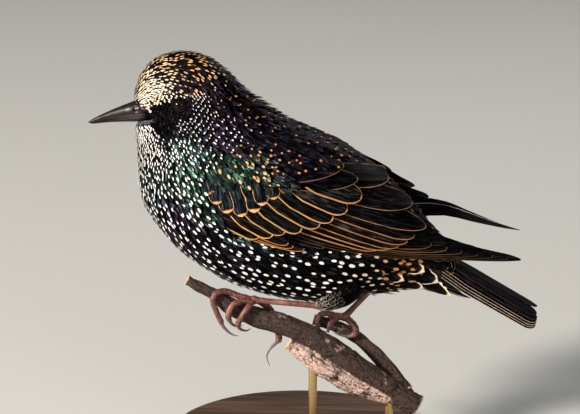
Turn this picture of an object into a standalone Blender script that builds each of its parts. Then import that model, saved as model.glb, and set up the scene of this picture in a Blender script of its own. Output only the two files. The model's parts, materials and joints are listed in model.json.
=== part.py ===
"""A starling in winter plumage, life size, perched on a cut length of branch over a plain display stand.

The bird faces -X with its left side towards -Y, and the middle of the base's underside is the origin.
Sizes below are in millimetres and are turned into metres where a mesh is made.
"""

import math

import bmesh
import bpy
from mathutils import Matrix, Vector

MM = 0.001
GAP = 0.3
LEFT, RIGHT = -1, 1
SIDE_NAMES = {LEFT: "left", RIGHT: "right"}

# Each row is one rib of the body: its back (x, z), its belly (x, z), half its width, how much wider it is
# below its middle than above, and how square it is, from 1 for an ellipse down towards 0 for a box.
BODY_RIBS = [
    (-69.8, 152.6, -69.0, 143.8, 3.3, 0.0, 0.9, 0.8),
    (-68.6, 159.8, -68.8, 138.6, 4.4, 0.0, 0.85, 0.7),
    (-65.2, 166.8, -68.6, 133.6, 5.6, 0.04, 0.84, 0.62),
    (-58.2, 172.2, -68.4, 128.8, 7.4, 0.05, 0.82, 0.56),
    (-48.4, 174.0, -68.2, 123.6, 9.6, 0.05, 0.82, 0.53),
    (-38.6, 171.8, -68.0, 117.4, 12.1, 0.10, 0.82, 0.55),
    (-30.0, 165.4, -66.4, 110.6, 15.6, 0.20, 0.84, 0.64),
    (-22.0, 157.4, -63.0, 103.4, 20.2, 0.25, 0.9, 0.8),
    (-4.0, 146.2, -48.8, 87.0, 26.2, 0.12, 0.94, 0.92),
    (20.0, 135.0, -24.8, 73.2, 28.2, 0.0, 0.95, 0.95),
    (39.6, 119.2, 6.0, 67.2, 24.0, 0.0, 0.95, 0.95),
    (55.2, 102.0, 30.0, 71.0, 15.8, 0.0, 0.95, 0.95),
    (64.6, 90.6, 50.0, 73.4, 9.4, 0.0, 0.95, 0.95),
]
# The root of the tail with its coverts, in rows like the ribs, behind the body's last rib.
TAIL_COVERT_RIBS = [
    (67.6, 84.0, 60.4, 72.4, 8.0, 0.0, 0.95, 0.95),
    (72.2, 79.6, 68.6, 70.2, 5.4, 0.0, 0.95, 0.95),
    (74.8, 75.6, 73.6, 69.4, 2.4, 0.0, 0.95, 0.95),
]
RINGS_PER_RIB = 3
RING_POINTS = 24
# The thin cuts that part the body: two points (x, z) on each cutting plane, top and bottom.
HEAD_CUT = ((-24.5, 161.0), (-67.5, 131.5))
NECK_CUT = ((-7.5, 149.0), (-65.5, 102.0))

BILL_BASE_X = -65.5
BILL_TIP_X = -88.8
BILL_TIP_Z = 142.9
MOUTH_SLOPE = 0.1875
MOUTH_CORNER_X = -59.5
MOUTH_LINE = 0.4
# Rows of the bill from tip to base: share of its length, height above and depth below the line of the
# mouth, and half its width.
BILL_ROWS = [
    (0.0, 0.25, 0.2, 0.35),
    (0.08, 1.1, 0.8, 0.85),
    (0.2, 2.1, 1.0, 1.25),
    (0.42, 3.6, 1.4, 1.9),
    (0.68, 5.0, 2.2, 2.9),
    (0.88, 5.8, 2.9, 3.7),
    (1.0, 6.2, 3.4, 4.1),
]
BILL_SQUARE = 0.8
NOSTRIL_AT = (-69.6, 149.6)
NOSTRIL_HALF = (1.7, 1.1, 0.75)

EYE_AT = (-49.4, 152.9)
EYE_RADIUS = 3.2
EYE_PROUD = 0.9
LID_RADIUS = 2.7
LID_THICK = 0.5

# The outer face of the folded wings at each x: middle height, half height, half the distance across.
WING_SHAPE = [
    (-44.0, 112.0, 36.0, 24.0),
    (-20.0, 110.0, 39.0, 29.5),
    (0.0, 107.0, 40.0, 32.0),
    (20.0, 103.5, 34.0, 31.5),
    (40.0, 99.5, 27.8, 27.5),
    (50.0, 97.0, 21.8, 24.5),
    (60.0, 94.8, 18.5, 21.0),
    (80.0, 90.5, 14.5, 15.0),
    (97.0, 88.5, 12.0, 11.5),
]
WING_DEPTH = 7.9
WING_FRONT_DEPTH = 1.6
WING_FULL_DEPTH_X = -12.0
SHOULDER_FRONT, SHOULDER_REAR = (-43.0, 118.0), (-6.2, 117.0)
SHOULDER_HALF = 16.5
SHOULDER_STATIONS = (0, 0.08, 0.2, 0.4, 0.7, 1)

# The room that the body leaves for a wing: how far past the shoulder it runs, how much deeper than the
# wing it is, and its lower and upper edge behind the shoulder.
ROOM_MARGIN, ROOM_DEEPER, ROOM_OUTSIDE = 0.6, 1.0, 12.0
ROOM_REAR = [((-4.0, 95.0), (6.0, 138.5)), ((22.0, 89.0), (34.0, 133.0)), ((60.0, 84.0), (64.0, 118.0)),
             ((78.0, 82.5), (80.0, 109.0)), ((97.0, 82.0), (97.0, 102.0))]
# How much higher the right wing is held, and over what stretch of x it rises.
RAISE, RAISE_FROM_X, RAISE_OVER = 6.3, 40.0, 26.0

VANE_THICK = 0.7
FLIGHT_STATIONS = (0, 0.22, 0.44, 0.66, 0.84, 0.95, 1)
TAIL_STATIONS = (0, 0.45, 0.9, 0.97, 1)
COVERT_STATIONS = (0, 0.35, 0.7, 0.9, 1)
SMALL_STATIONS = (0, 0.55, 0.85, 1)
VANE_STEP = 0.35
VANE_LAP = 0.15
GREATER_HALF, SCAPULAR_HALF, SMALL_THICK = 5.0, 5.2, 0.9
COVERT_TOP, COVERT_ROOT = 0.25, 1.0
FLIGHT_TOP = 2.2
# The line inside the wing where the flight feathers grow, from its upper end to its lower end.
ROOT_TOP, ROOT_BOTTOM = (6.0, 132.5), (-11.0, 101.8)
# Tips (x, z), half widths and the share of the length where the end starts to round off, upper first,
# and last how much higher the same feather's tip is held on the right wing.
SECONDARIES = [
    ((38.6, 125.6), 4.3, 0.72, -3.0),
    ((49.0, 115.6), 5.0, 0.72, -0.6),
    ((54.6, 106.4), 5.0, 0.72, 1.0),
    ((50.0, 102.6), 4.2, 0.8, 2.0),
    ((47.0, 100.0), 4.0, 0.8, 2.4),
    ((43.6, 98.0), 3.9, 0.8, 2.6),
]
PRIMARIES = [
    ((57.6, 97.6), 4.4, 0.75, 8.8),
    ((63.6, 95.0), 4.4, 0.7, 9.4),
    ((70.0, 93.0), 4.4, 0.65, 9.8),
    ((76.4, 91.2), 4.4, 0.6, 10.2),
    ((82.6, 89.6), 4.3, 0.55, 10.5),
    ((88.6, 88.0), 4.1, 0.5, 10.6),
    ((93.8, 86.8), 3.9, 0.5, 10.6),
]
PRIMARY_BOW = -2.2
# How much wider a primary's vane is above its shaft than below: the left wing's lie more open.
PRIMARY_INNER = {LEFT: 7.0, RIGHT: 0.0}
GREATER_COVERTS = [(-9.6, 103.4), (-3.0, 104.9), (4.6, 106.7), (12.0, 109.4), (19.6, 113.2), (27.0, 118.8)]
GREATER_ROOTS = ((-29.0, 112.0), (3.0, 127.5))
SCAPULARS = [(25.6, 126.2), (19.6, 131.4), (8.0, 135.6)]
SCAPULAR_ROOTS = ((-9.0, 128.0), (-20.0, 131.5))
# Rows of small coverts: first and last tip, how far the row's middle hangs below them, count, length
# from root to tip and half width.
SMALL_COVERTS = [
    ((-34.5, 116.0), (-5.0, 122.5), 5.5, 5, (3.0, -8.0), 4.0),
    ((-29.5, 122.5), (-9.0, 126.8), 2.0, 4, (1.5, -5.5), 4.0),
]

TAIL_ROOT = (58.0, 90.0)
TAIL_TIP = (101.0, 64.6)
TAIL_PAIRS = 6
TAIL_HALF_WIDTH = 12.6
TAIL_VANE = 4.0
TAIL_NOTCH, TAIL_SKEW, TAIL_ROUND_FROM = 2.2, 0.9, 0.9
TAIL_ARCH = 0.014
TAIL_ROLL = math.radians(8)

SHANK_RADIUS = 1.25
HEEL_RADIUS = 1.7
PAD_RADIUS = 1.9
ANKLE_LENGTH = 3.0
LIMB_SIDES = 8
TOE_SIDES = 6
CLAW_SIDES = 6
# The stem that each foot grips, and where on it: along x, and degrees round it from its top towards +Y.
FOOTHOLDS = {LEFT: ("main", -21.0, -7.0), RIGHT: ("upper", 16.3, 0.0)}
# The heel of each leg, and the feathered thigh above it as rows of x, y, z and radius.
HEELS = {LEFT: (10.0, -12.0, 68.2), RIGHT: (31.0, 12.0, 70.5)}
THIGHS = {
    LEFT: [
        (24.0, -11.0, 82.0, 7.5),
        (18.0, -12.0, 75.0, 6.0),
        (12.5, -12.2, 70.6, 3.6),
        (8.5, -12.0, 68.2, 2.0),
    ],
    RIGHT: [
        (40.0, 11.0, 84.0, 7.0),
        (36.5, 11.6, 78.0, 6.0),
        (32.0, 12.0, 72.0, 4.0),
        (28.0, 11.8, 67.6, 2.1),
    ],
}
# The digits in rows of x along the stem, degrees round it, the gap to its bark and the radius, and how many
# of the rows are toe: the rest are its claw.
DIGITS = {
    LEFT: {
        "outer": (3, [
            (-22.5, -55, 0.3, 1.3), (-23.5, -100, 0.3, 1.25), (-23.5, -133, 1.0, 1.2),
            (-22.0, -151, 2.0, 0.8), (-19.5, -165, 1.9, 0.5), (-18.0, -176, 0.9, 0.2),
        ]),
        "middle": (6, [
            (-28.5, -9, 0.3, 1.35), (-33.0, -22, 0.3, 1.3), (-35.5, -64, 0.3, 1.3),
            (-34.8, -106, 0.3, 1.25), (-31.6, -134, 1.3, 1.2), (-28.5, -149, 2.8, 1.15),
            (-26.5, -157, 4.6, 0.8), (-24.0, -161, 5.6, 0.5), (-21.7, -162, 5.5, 0.2),
        ]),
        "inner": (4, [
            (-25.3, -30, 0.3, 1.3), (-28.3, -60, 0.3, 1.25), (-28.3, -102, 0.3, 1.2),
            (-27.0, -134, 0.5, 1.15), (-25.3, -154, 1.4, 0.8), (-23.3, -166, 1.6, 0.5),
            (-21.6, -178, 1.0, 0.2),
        ]),
        "hind": (5, [
            (-17.5, 30, 0.3, 1.5), (-13.0, 62, 0.3, 1.5), (-9.5, 99, 0.3, 1.5),
            (-7.0, 135, 0.5, 1.45), (-6.0, 172, 1.2, 1.4), (-7.5, 186, 3.4, 1.1),
            (-9.0, 188, 6.5, 0.8), (-9.0, 188, 10.2, 0.5), (-6.5, 189, 13.5, 0.2),
        ]),
    },
    RIGHT: {
        "outer": (3, [
            (14.0, 25, 0.3, 1.3), (12.0, 60, 0.3, 1.2), (11.0, 95, 0.3, 1.15),
            (11.3, 115, 0.8, 0.8), (12.3, 135, 0.9, 0.5), (13.5, 150, 0.5, 0.2),
        ]),
        "middle": (5, [
            (13.0, -3, 0.3, 1.3), (10.0, -8, 0.3, 1.3), (7.5, -35, 0.3, 1.2),
            (7.0, -75, 0.3, 1.15), (7.5, -105, 0.3, 1.15), (8.5, -130, 0.8, 0.8),
            (10.5, -145, 1.0, 0.5), (12.5, -155, 0.6, 0.2),
        ]),
        "inner": (3, [
            (14.0, -25, 0.3, 1.3), (12.5, -60, 0.3, 1.2), (12.3, -90, 0.3, 1.15),
            (12.3, -112, 0.6, 0.8), (12.6, -130, 0.8, 0.5), (13.2, -145, 0.6, 0.2),
        ]),
        "hind": (3, [
            (19.3, -12, 0.3, 1.5), (21.8, -40, 0.3, 1.4), (22.3, -70, 0.3, 1.35),
            (21.0, -92, 0.8, 1.0), (18.5, -103, 1.6, 0.7), (16.0, -107, 2.0, 0.4),
            (14.5, -108, 2.0, 0.2),
        ]),
    },
}

# The stems of the perch in rows of x, y, z and radius.
PERCH_STEMS = {
    "main": [
        (-47.0, -10.0, 78.0, 2.4),
        (-36.0, -10.0, 72.0, 3.1),
        (-27.0, -10.0, 66.0, 4.3),
        (-16.0, -9.5, 61.6, 4.7),
        (0.0, -8.0, 56.2, 4.9),
        (17.0, -6.0, 46.0, 4.8),
        (34.0, -3.0, 32.4, 5.0),
        (50.0, -1.0, 21.5, 5.2),
    ],
    "lower": [
        (-4.5, -8.4, 50.6, 2.9),
        (1.0, -8.3, 46.6, 3.7),
        (12.0, -7.2, 38.6, 4.4),
        (24.0, -5.0, 31.4, 4.6),
        (38.0, -2.5, 26.6, 4.4),
    ],
    "upper": [
        (5.0, 10.6, 55.6, 2.4),
        (12.0, 10.4, 53.8, 2.8),
        (19.0, 10.0, 50.9, 3.0),
        (27.0, 8.6, 45.8, 3.2),
        (34.0, 6.0, 40.0, 3.4),
        (45.0, 0.0, 27.5, 3.8),
    ],
}
PERCH_SIDES = 10

BASE_RADIUS, BASE_HEIGHT, BASE_EDGE = 56.0, 10.0, 1.6
ROD_RADIUS = 1.8
SOCKET_DEPTH = 5.0
RODS = {"front": ("lower", 6.0), "rear": ("main", 38.0)}

# The looks of the parts: colour, roughness and metallic value, and the look that each kind of node has.
LOOKS = {
    "plumage": ((0.02, 0.018, 0.022), 0.45, 0.0),
    "vane": ((0.03, 0.024, 0.022), 0.5, 0.0),
    "horn": ((0.10, 0.075, 0.07), 0.4, 0.0),
    "eye": ((0.02, 0.01, 0.008), 0.05, 0.0),
    "scales": ((0.42, 0.2, 0.14), 0.5, 0.0),
    "claw": ((0.2, 0.17, 0.17), 0.35, 0.0),
    "bark": ((0.14, 0.075, 0.05), 0.9, 0.0),
    "base": ((0.05, 0.035, 0.028), 0.4, 0.0),
    "rod": ((0.35, 0.3, 0.22), 0.35, 1.0),
}
NODE_LOOKS = {
    "head": "plumage",
    "neck": "plumage",
    "torso": "plumage",
    "thigh": "plumage",
    "wing": "vane",
    "tail": "vane",
    "bill": "horn",
    "eye": "eye",
    "tarsus": "scales",
    "foot": "scales",
    "claw": "claw",
    "perch": "bark",
    "stand_base": "base",
    "stand_rod": "rod",
}
SHARP_ANGLE = math.radians(40)


def clamp(value, low=0.0, high=1.0):
    return max(low, min(high, value))


def ease(value):
    value = clamp(value)
    return value * value * (3 - 2 * value)


def on_curve(rows, t):
    """The row at t, counted in rows from 0, on a smooth curve through all the rows."""
    i = int(clamp(t, 0, len(rows) - 1.000001))
    f = t - i
    near = [rows[clamp(i + k, 0, len(rows) - 1)] for k in (-1, 0, 1, 2)]
    return tuple(
        0.5 * (2 * b + (c - a) * f + (2 * a - 5 * b + 4 * c - d) * f * f + (3 * b - a - 3 * c + d) * f**3)
        for a, b, c, d in zip(*near)
    )


def at_x(rows, x):
    """The other values of rows that start with x, where that x is, on straight x and smooth values."""
    x = clamp(x, rows[0][0], rows[-1][0])
    i = max(k for k in range(len(rows) - 1) if rows[k][0] <= x)
    f = (x - rows[i][0]) / (rows[i + 1][0] - rows[i][0])
    return on_curve(rows, i + f)[1:]


def new_object(name, points, faces):
    """An object of these points in millimetres, with its faces turned outwards."""
    mesh = bpy.data.meshes.new(name)
    mesh.from_pydata([Vector(p) * MM for p in points], [], faces)
    body = bmesh.new()
    body.from_mesh(mesh)
    bmesh.ops.recalc_face_normals(body, faces=body.faces)
    body.to_mesh(mesh)
    body.free()
    made = bpy.data.objects.new(name, mesh)
    bpy.context.scene.collection.objects.link(made)
    return made


def loft(name, rings):
    """A closed solid through rings of equally many points, with a flat cap at each end."""
    count = len(rings[0])
    faces = [list(range(count)), [(len(rings) - 1) * count + k for k in range(count)]]
    for i in range(len(rings) - 1):
        for k in range(count):
            a, b = i * count + k, i * count + (k + 1) % count
            faces += [(a, b, b + count), (a, b + count, a + count)]
    return new_object(name, [p for ring in rings for p in ring], faces)


def limb(name, rows, sides=LIMB_SIDES, grow=0.0):
    """A round limb through rows of x, y, z and radius. grow widens and lengthens it, for a cutter."""
    points = [Vector(row[:3]) for row in rows]
    points[0] -= (points[1] - points[0]).normalized() * grow
    points[-1] += (points[-1] - points[-2]).normalized() * grow
    curve = bpy.data.curves.new(name, "CURVE")
    curve.dimensions = "3D"
    curve.bevel_depth = MM
    curve.bevel_resolution = (sides - 4) // 2
    curve.use_fill_caps = True
    spline = curve.splines.new("POLY")
    spline.points.add(len(points) - 1)
    for place, point, row in zip(spline.points, points, rows):
        place.co = (*(point * MM), 1)
        place.radius = row[3] + grow
    return curve_to_mesh(name, curve)


def curve_to_mesh(name, curve):
    """A closed mesh object of a bevelled curve, with its caps welded on."""
    wire = bpy.data.objects.new(name, curve)
    bpy.context.scene.collection.objects.link(wire)
    mesh = evaluated_mesh(wire)
    body = bmesh.new()
    body.from_mesh(mesh)
    bmesh.ops.remove_doubles(body, verts=body.verts, dist=1e-6)
    bmesh.ops.recalc_face_normals(body, faces=body.faces)
    body.to_mesh(mesh)
    body.free()
    bpy.data.objects.remove(wire)
    made = bpy.data.objects.new(name, mesh)
    bpy.context.scene.collection.objects.link(made)
    return made


def smooth_rows(rows, per_row):
    steps = (len(rows) - 1) * per_row
    return [on_curve(rows, k / per_row) for k in range(steps)] + [rows[-1]]


def evaluated_mesh(thing):
    graph = bpy.context.evaluated_depsgraph_get()
    return bpy.data.meshes.new_from_object(thing.evaluated_get(graph))


def shell_size(faces):
    """What a closed surface holds, times three."""
    return abs(sum(face.calc_center_median().dot(face.normal) * face.calc_area() for face in faces))


def keep_largest(mesh):
    """Drops every closed surface of the mesh but the one that holds most."""
    body = bmesh.new()
    body.from_mesh(mesh)
    left, shells = set(body.faces), []
    while left:
        shell, edge = set(), [left.pop()]
        while edge:
            face = edge.pop()
            shell.add(face)
            for loop in face.loops:
                for other in loop.edge.link_faces:
                    if other in left:
                        left.discard(other)
                        edge.append(other)
        shells.append(shell)
    shells.sort(key=shell_size)
    bmesh.ops.delete(body, geom=[f for shell in shells[:-1] for f in shell], context="FACES")
    body.to_mesh(mesh)
    body.free()


def combine(thing, others, operation):
    """Joins the others to thing, or cuts them from it, in one Boolean, and removes them."""
    group = bpy.data.collections.new("operands")
    bpy.context.scene.collection.children.link(group)
    for other in others:
        for home in list(other.users_collection):
            home.objects.unlink(other)
        group.objects.link(other)
    boolean = thing.modifiers.new("combine", "BOOLEAN")
    boolean.operation = operation
    boolean.operand_type = "COLLECTION"
    boolean.collection = group
    mesh = evaluated_mesh(thing)
    thing.modifiers.clear()
    keep_largest(mesh)
    thing.data = mesh
    for other in others:
        bpy.data.objects.remove(other)
    bpy.data.collections.remove(group)
    return thing


def fused(name, pieces, cutters=()):
    thing = pieces[0]
    thing.name = name
    if len(pieces) > 1:
        combine(thing, pieces[1:], "UNION")
    if cutters:
        combine(thing, list(cutters), "DIFFERENCE")
    return thing


def ball(name, centre, half, segments=16, rings=8):
    """A closed ellipsoid with these half sizes."""
    body = bmesh.new()
    bmesh.ops.create_uvsphere(body, u_segments=segments, v_segments=rings, radius=1.0)
    bmesh.ops.scale(body, vec=Vector(half) * MM, verts=body.verts)
    bmesh.ops.translate(body, vec=Vector(centre) * MM, verts=body.verts)
    mesh = bpy.data.meshes.new(name)
    body.to_mesh(mesh)
    body.free()
    made = bpy.data.objects.new(name, mesh)
    bpy.context.scene.collection.objects.link(made)
    return made


def rib_ring(rib, points):
    """The ring of a rib: an egg-shaped section in the plane through its back and belly."""
    back_x, back_z, belly_x, belly_z, half_width, egg, square, dome = rib
    ring = []
    for k in range(points):
        turn = 2 * math.pi * k / points
        up = math.cos(turn)
        share = (1 + up) / 2
        aside = math.sin(turn)
        power = square + (dome - square) * ease(up)
        width = half_width * math.copysign(abs(aside) ** power, aside) * (1 - egg * up)
        ring.append((belly_x + (back_x - belly_x) * share, width, belly_z + (back_z - belly_z) * share))
    return ring


def whole_body():
    return loft("body", [rib_ring(rib, RING_POINTS) for rib in smooth_rows(BODY_RIBS, RINGS_PER_RIB)])


def keep_side(thing, cut, keep_front):
    """Cuts a closed object by the plane through cut, keeps the part in front of it or behind, and caps it."""
    top, bottom = Vector((cut[0][0], 0, cut[0][1])), Vector((cut[1][0], 0, cut[1][1]))
    normal = (top - bottom).cross(Vector((0, 1, 0))).normalized()
    normal *= 1 if normal.x > 0 else -1
    middle = top + normal * (GAP / 2) * (-1 if keep_front else 1)
    body = bmesh.new()
    body.from_mesh(thing.data)
    geometry = body.verts[:] + body.edges[:] + body.faces[:]
    bmesh.ops.bisect_plane(
        body,
        geom=geometry,
        dist=1e-7,
        plane_co=middle * MM,
        plane_no=normal,
        clear_outer=keep_front,
        clear_inner=not keep_front,
    )
    bmesh.ops.holes_fill(body, edges=[e for e in body.edges if e.is_boundary])
    bmesh.ops.recalc_face_normals(body, faces=body.faces)
    body.to_mesh(thing.data)
    body.free()
    return thing


def surface_y(thing, x, z, side):
    """How far from the middle the object's surface is on that side, at that x and z."""
    hit, place, _, _ = thing.ray_cast(Vector((x, side * 90, z)) * MM, Vector((0, -side, 0)))
    return abs(place.y) / MM if hit else 0.0


def mouth_z(x):
    return BILL_TIP_Z + (x - BILL_TIP_X) * MOUTH_SLOPE


def eye_centre(head_surface, side):
    reach = surface_y(head_surface, *EYE_AT, side) + EYE_PROUD - EYE_RADIUS
    return (EYE_AT[0], side * reach, EYE_AT[1])


def eye_lids(centre, side):
    """The ring of bare skin round an eye."""
    bpy.ops.mesh.primitive_torus_add(
        major_radius=LID_RADIUS * MM,
        minor_radius=LID_THICK * MM,
        major_segments=16,
        minor_segments=5,
        rotation=(math.radians(90), 0, 0),
        location=Vector((centre[0], centre[1] + side * (EYE_RADIUS - EYE_PROUD - 0.1), centre[2])) * MM,
    )
    lids = bpy.context.object
    lids.data.transform(lids.matrix_world)
    lids.matrix_world = Matrix.Identity(4)
    return lids


def mouth_cutter():
    """A thin slab along the line of the mouth, from the bill back to its corner."""
    front, back = BILL_BASE_X - 3, MOUTH_CORNER_X
    rings = []
    for x in (front, back):
        half, z = MOUTH_LINE / 2, mouth_z(x)
        rings.append([(x, -15, z - half), (x, 15, z - half), (x, 15, z + half), (x, -15, z + half)])
    return loft("mouth_line", rings)


def bill_room():
    """What is cut from the head to seat the base of the bill."""
    rings = []
    for share in (0.75, 0.88, 1.0, 1.02):
        above, below, half_width = (value + GAP for value in at_x(BILL_ROWS, share))
        x = BILL_TIP_X + (BILL_BASE_X - BILL_TIP_X) * share
        ring = []
        for k in range(RING_POINTS):
            turn = 2 * math.pi * k / RING_POINTS
            reach = above if math.sin(turn) > 0 else -below
            z = mouth_z(x) + reach * abs(math.sin(turn)) ** BILL_SQUARE
            ring.append((x, half_width * math.cos(turn), z))
        rings.append(ring)
    return loft("bill_room", rings)


def make_head(body):
    head = keep_side(copy_of(body, "head"), HEAD_CUT, True)
    centres = {side: eye_centre(head, side) for side in SIDE_NAMES}
    lids = [eye_lids(centres[side], side) for side in SIDE_NAMES]
    room = EYE_RADIUS + GAP
    sockets = [ball("socket", centres[side], (room, room, room)) for side in SIDE_NAMES]
    fused("head", [head, *lids], [mouth_cutter(), bill_room(), *sockets])
    for side, word in SIDE_NAMES.items():
        ball(f"eye_{word}", centres[side], (EYE_RADIUS,) * 3)
    return head


def bill_half(name, upper):
    """One half of the bill: rounded on its outer side and flat along the line of the mouth."""
    rings = []
    for share, above, below, half_width in BILL_ROWS:
        x = BILL_TIP_X + (BILL_BASE_X - BILL_TIP_X) * share
        reach = above if upper else -below
        edge = mouth_z(x) + (GAP / 2 if upper else -GAP / 2)
        arch = [math.pi * k / 10 for k in range(11)]
        ring = [(x, half_width * math.cos(a), edge + reach * math.sin(a) ** BILL_SQUARE) for a in arch]
        rings.append(ring)
    return loft(name, rings)


def make_bill():
    upper = bill_half("bill_upper", True)
    x, z = NOSTRIL_AT
    slits = []
    for side in SIDE_NAMES:
        y = side * surface_y(upper, x, z, side)
        slits.append(ball("nostril", (x, y, z), NOSTRIL_HALF, 10, 6))
    combine(upper, slits, "DIFFERENCE")
    bill_half("bill_lower", False)


def wing_y(x, z):
    middle, half_height, half_width = at_x(WING_SHAPE, x)
    up = clamp(abs(z - middle) / half_height, 0.0, 0.97)
    return half_width * math.sqrt(1 - up * up)


def wing_point(x, z, depth, side):
    """The point of the folded wing at x and z, at that depth under its outer face."""
    step = 0.5
    slope_x = (wing_y(x + step, z) - wing_y(x - step, z)) / (2 * step)
    slope_z = (wing_y(x, z + step) - wing_y(x, z - step)) / (2 * step)
    normal = Vector((-slope_x, 1, -slope_z)).normalized()
    point = Vector((x, wing_y(x, z), z)) - normal * depth
    raised = RAISE * ease((x - RAISE_FROM_X) / RAISE_OVER) if side == RIGHT else 0.0
    return (point.x, side * point.y, point.z + raised)


def slab(name, rows, place, columns=2):
    """A closed slab from rows of (middle, across, outer depth, thickness), in triangles alike on both faces.

    place(u, v, depth) gives the point in space of a point (u, v) of the slab's own flat outline."""
    points, faces = [], []
    width = columns + 1
    for middle, across, depth, thick in rows:
        for face_depth in (depth, depth + thick):
            for k in range(width):
                share = 2 * k / columns - 1
                points.append(place(middle[0] + across[0] * share, middle[1] + across[1] * share, face_depth))
    for i in range(len(rows)):
        outer, inner = i * 2 * width, i * 2 * width + width
        ahead = 2 * width
        if i in (0, len(rows) - 1):
            faces += [(outer + k, outer + k + 1, inner + k + 1, inner + k) for k in range(columns)]
        if i == len(rows) - 1:
            break
        for start in (outer, inner):
            for k in range(columns):
                a, b = start + k, start + k + 1
                faces += [(a, b, b + ahead), (a, b + ahead, a + ahead)]
        for k in (0, columns):
            faces.append((outer + k, inner + k, inner + k + ahead, outer + k + ahead))
    return new_object(name, points, faces)


def vane_rows(
    root, tip, half_width, round_from, depths, thick=VANE_THICK, bow=0.0, inner=0.0, shares=FLIGHT_STATIONS
):
    """Rows of a feather's vane for slab: a straight or bowed shaft with a rounded or pointed end.

    inner is how much wider the vane is above its shaft than below it."""
    root, tip = Vector(root), Vector(tip)
    way = (tip - root).normalized()
    across = Vector((-way.y, way.x))
    rows = []
    for share in shares:
        middle = root.lerp(tip, share) + across * bow * math.sin(math.pi * share)
        past = clamp((share - round_from) / (1 - round_from))
        fullness = min(1, 0.6 + 1.6 * share) * max(math.sqrt(1 - past * past), 0.09)
        middle += across * (inner / 2 * fullness)
        half = (half_width + inner / 2) * fullness
        rows.append((middle, across * half, depths[0] + (depths[1] - depths[0]) * share, thick))
    return rows


def wing_slab(name, rows, side, columns=2):
    return slab(name, rows, lambda u, v, depth: wing_point(u, v, depth, side), columns)


def root_at(share):
    return Vector(ROOT_TOP).lerp(Vector(ROOT_BOTTOM), share)


def flight_group(name, feathers, side, shares, top, bow=0.0, inner=0.0):
    """Flight feathers fanned from their part of the root line, each one under the one above it."""
    thick = VANE_STEP * (len(feathers) - 1) + VANE_THICK
    pieces = [root_bar(shares, top, thick, side)]
    for k, (tip, half_width, round_from, lift) in enumerate(feathers):
        depth = top + VANE_STEP * k
        root = root_at(shares[0] + (shares[1] - shares[0]) * (k + 0.5) / len(feathers))
        tip = (tip[0], tip[1] + (lift if side == RIGHT else 0.0))
        rows = vane_rows(root, tip, half_width, round_from, (depth, depth), bow=bow, inner=inner)
        pieces.append(wing_slab("vane", rows, side))
    return fused(f"wing_{SIDE_NAMES[side]}_{name}", pieces)


def root_bar(shares, top, thick, side):
    """The short bar across the roots of a group of flight feathers, that joins them."""
    ends = [root_at(shares[0]), root_at(shares[1])]
    across = Vector((2.4, -1.4))
    rows = [(ends[0].lerp(ends[1], k / 3), across, top + 0.02, thick - 0.04) for k in range(4)]
    return wing_slab("bar", rows, side, 1)


def wing_inner(x):
    """The depth of the wing's inner face: thin at the shoulder, full behind it."""
    share = (x - SHOULDER_FRONT[0]) / (WING_FULL_DEPTH_X - SHOULDER_FRONT[0])
    return WING_FRONT_DEPTH + (WING_DEPTH - WING_FRONT_DEPTH) * ease(share)


def shoulder_row(share, margin=0.0):
    """The middle and the half width of the shoulder and forearm, that share of the way back along them."""
    middle = Vector(SHOULDER_FRONT).lerp(Vector(SHOULDER_REAR), share)
    half = SHOULDER_HALF * math.sqrt(1 - (1 - share) ** 2 * 0.97) + margin
    return middle, Vector((0.55 * share, 1)).normalized() * half


def wing_core(side):
    """The shoulder and forearm of the folded wing, that the coverts grow from."""
    rows = []
    for share in SHOULDER_STATIONS:
        middle, across = shoulder_row(share)
        top = COVERT_ROOT + 0.1
        rows.append((middle, across, top, wing_inner(middle.x) - top))
    return wing_slab("core", rows, side, 6)


def covert_vanes(side):
    vanes = []
    count = len(GREATER_COVERTS)
    for k, tip in enumerate(GREATER_COVERTS):
        root = Vector(GREATER_ROOTS[0]).lerp(Vector(GREATER_ROOTS[1]), k / (count - 1))
        depths = (COVERT_ROOT - 0.02 * k, COVERT_ROOT - 0.1 - 0.02 * k)
        rows = vane_rows(root, tip, GREATER_HALF, 0.75, depths, VANE_THICK - 0.1, shares=COVERT_STATIONS)
        vanes.append(wing_slab("greater", rows, side, 1))
    for k, tip in enumerate(SCAPULARS):
        root = Vector(SCAPULAR_ROOTS[0]).lerp(Vector(SCAPULAR_ROOTS[1]), k / (len(SCAPULARS) - 1))
        depths = (0.8 - VANE_LAP * k, 0.6 - VANE_LAP * k)
        rows = vane_rows(root, tip, SCAPULAR_HALF, 0.7, depths, shares=COVERT_STATIONS)
        vanes.append(wing_slab("scapular", rows, side))
    for first, last, sag, number, reach, half_width in SMALL_COVERTS:
        for k in range(number):
            share = k / (number - 1)
            tip = Vector(first).lerp(Vector(last), share) - Vector((0, sag * math.sin(math.pi * share)))
            root = tip - Vector(reach)
            depths = (COVERT_ROOT + 0.3, COVERT_TOP + 0.03 * (k % 2))
            rows = vane_rows(root, tip, half_width, 0.5, depths, SMALL_THICK, shares=SMALL_STATIONS)
            vanes.append(wing_slab("small", rows, side, 1))
    return vanes


def make_wing(side):
    fused(f"wing_{SIDE_NAMES[side]}_coverts", [wing_core(side), *covert_vanes(side)])
    flight_group("secondaries", SECONDARIES, side, (0.0, 0.6), FLIGHT_TOP)
    deepest = FLIGHT_TOP + VANE_STEP * (len(SECONDARIES) - 1) + VANE_THICK
    flight_group("primaries", PRIMARIES, side, (0.5, 1.0), deepest + GAP, PRIMARY_BOW, PRIMARY_INNER[side])


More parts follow.
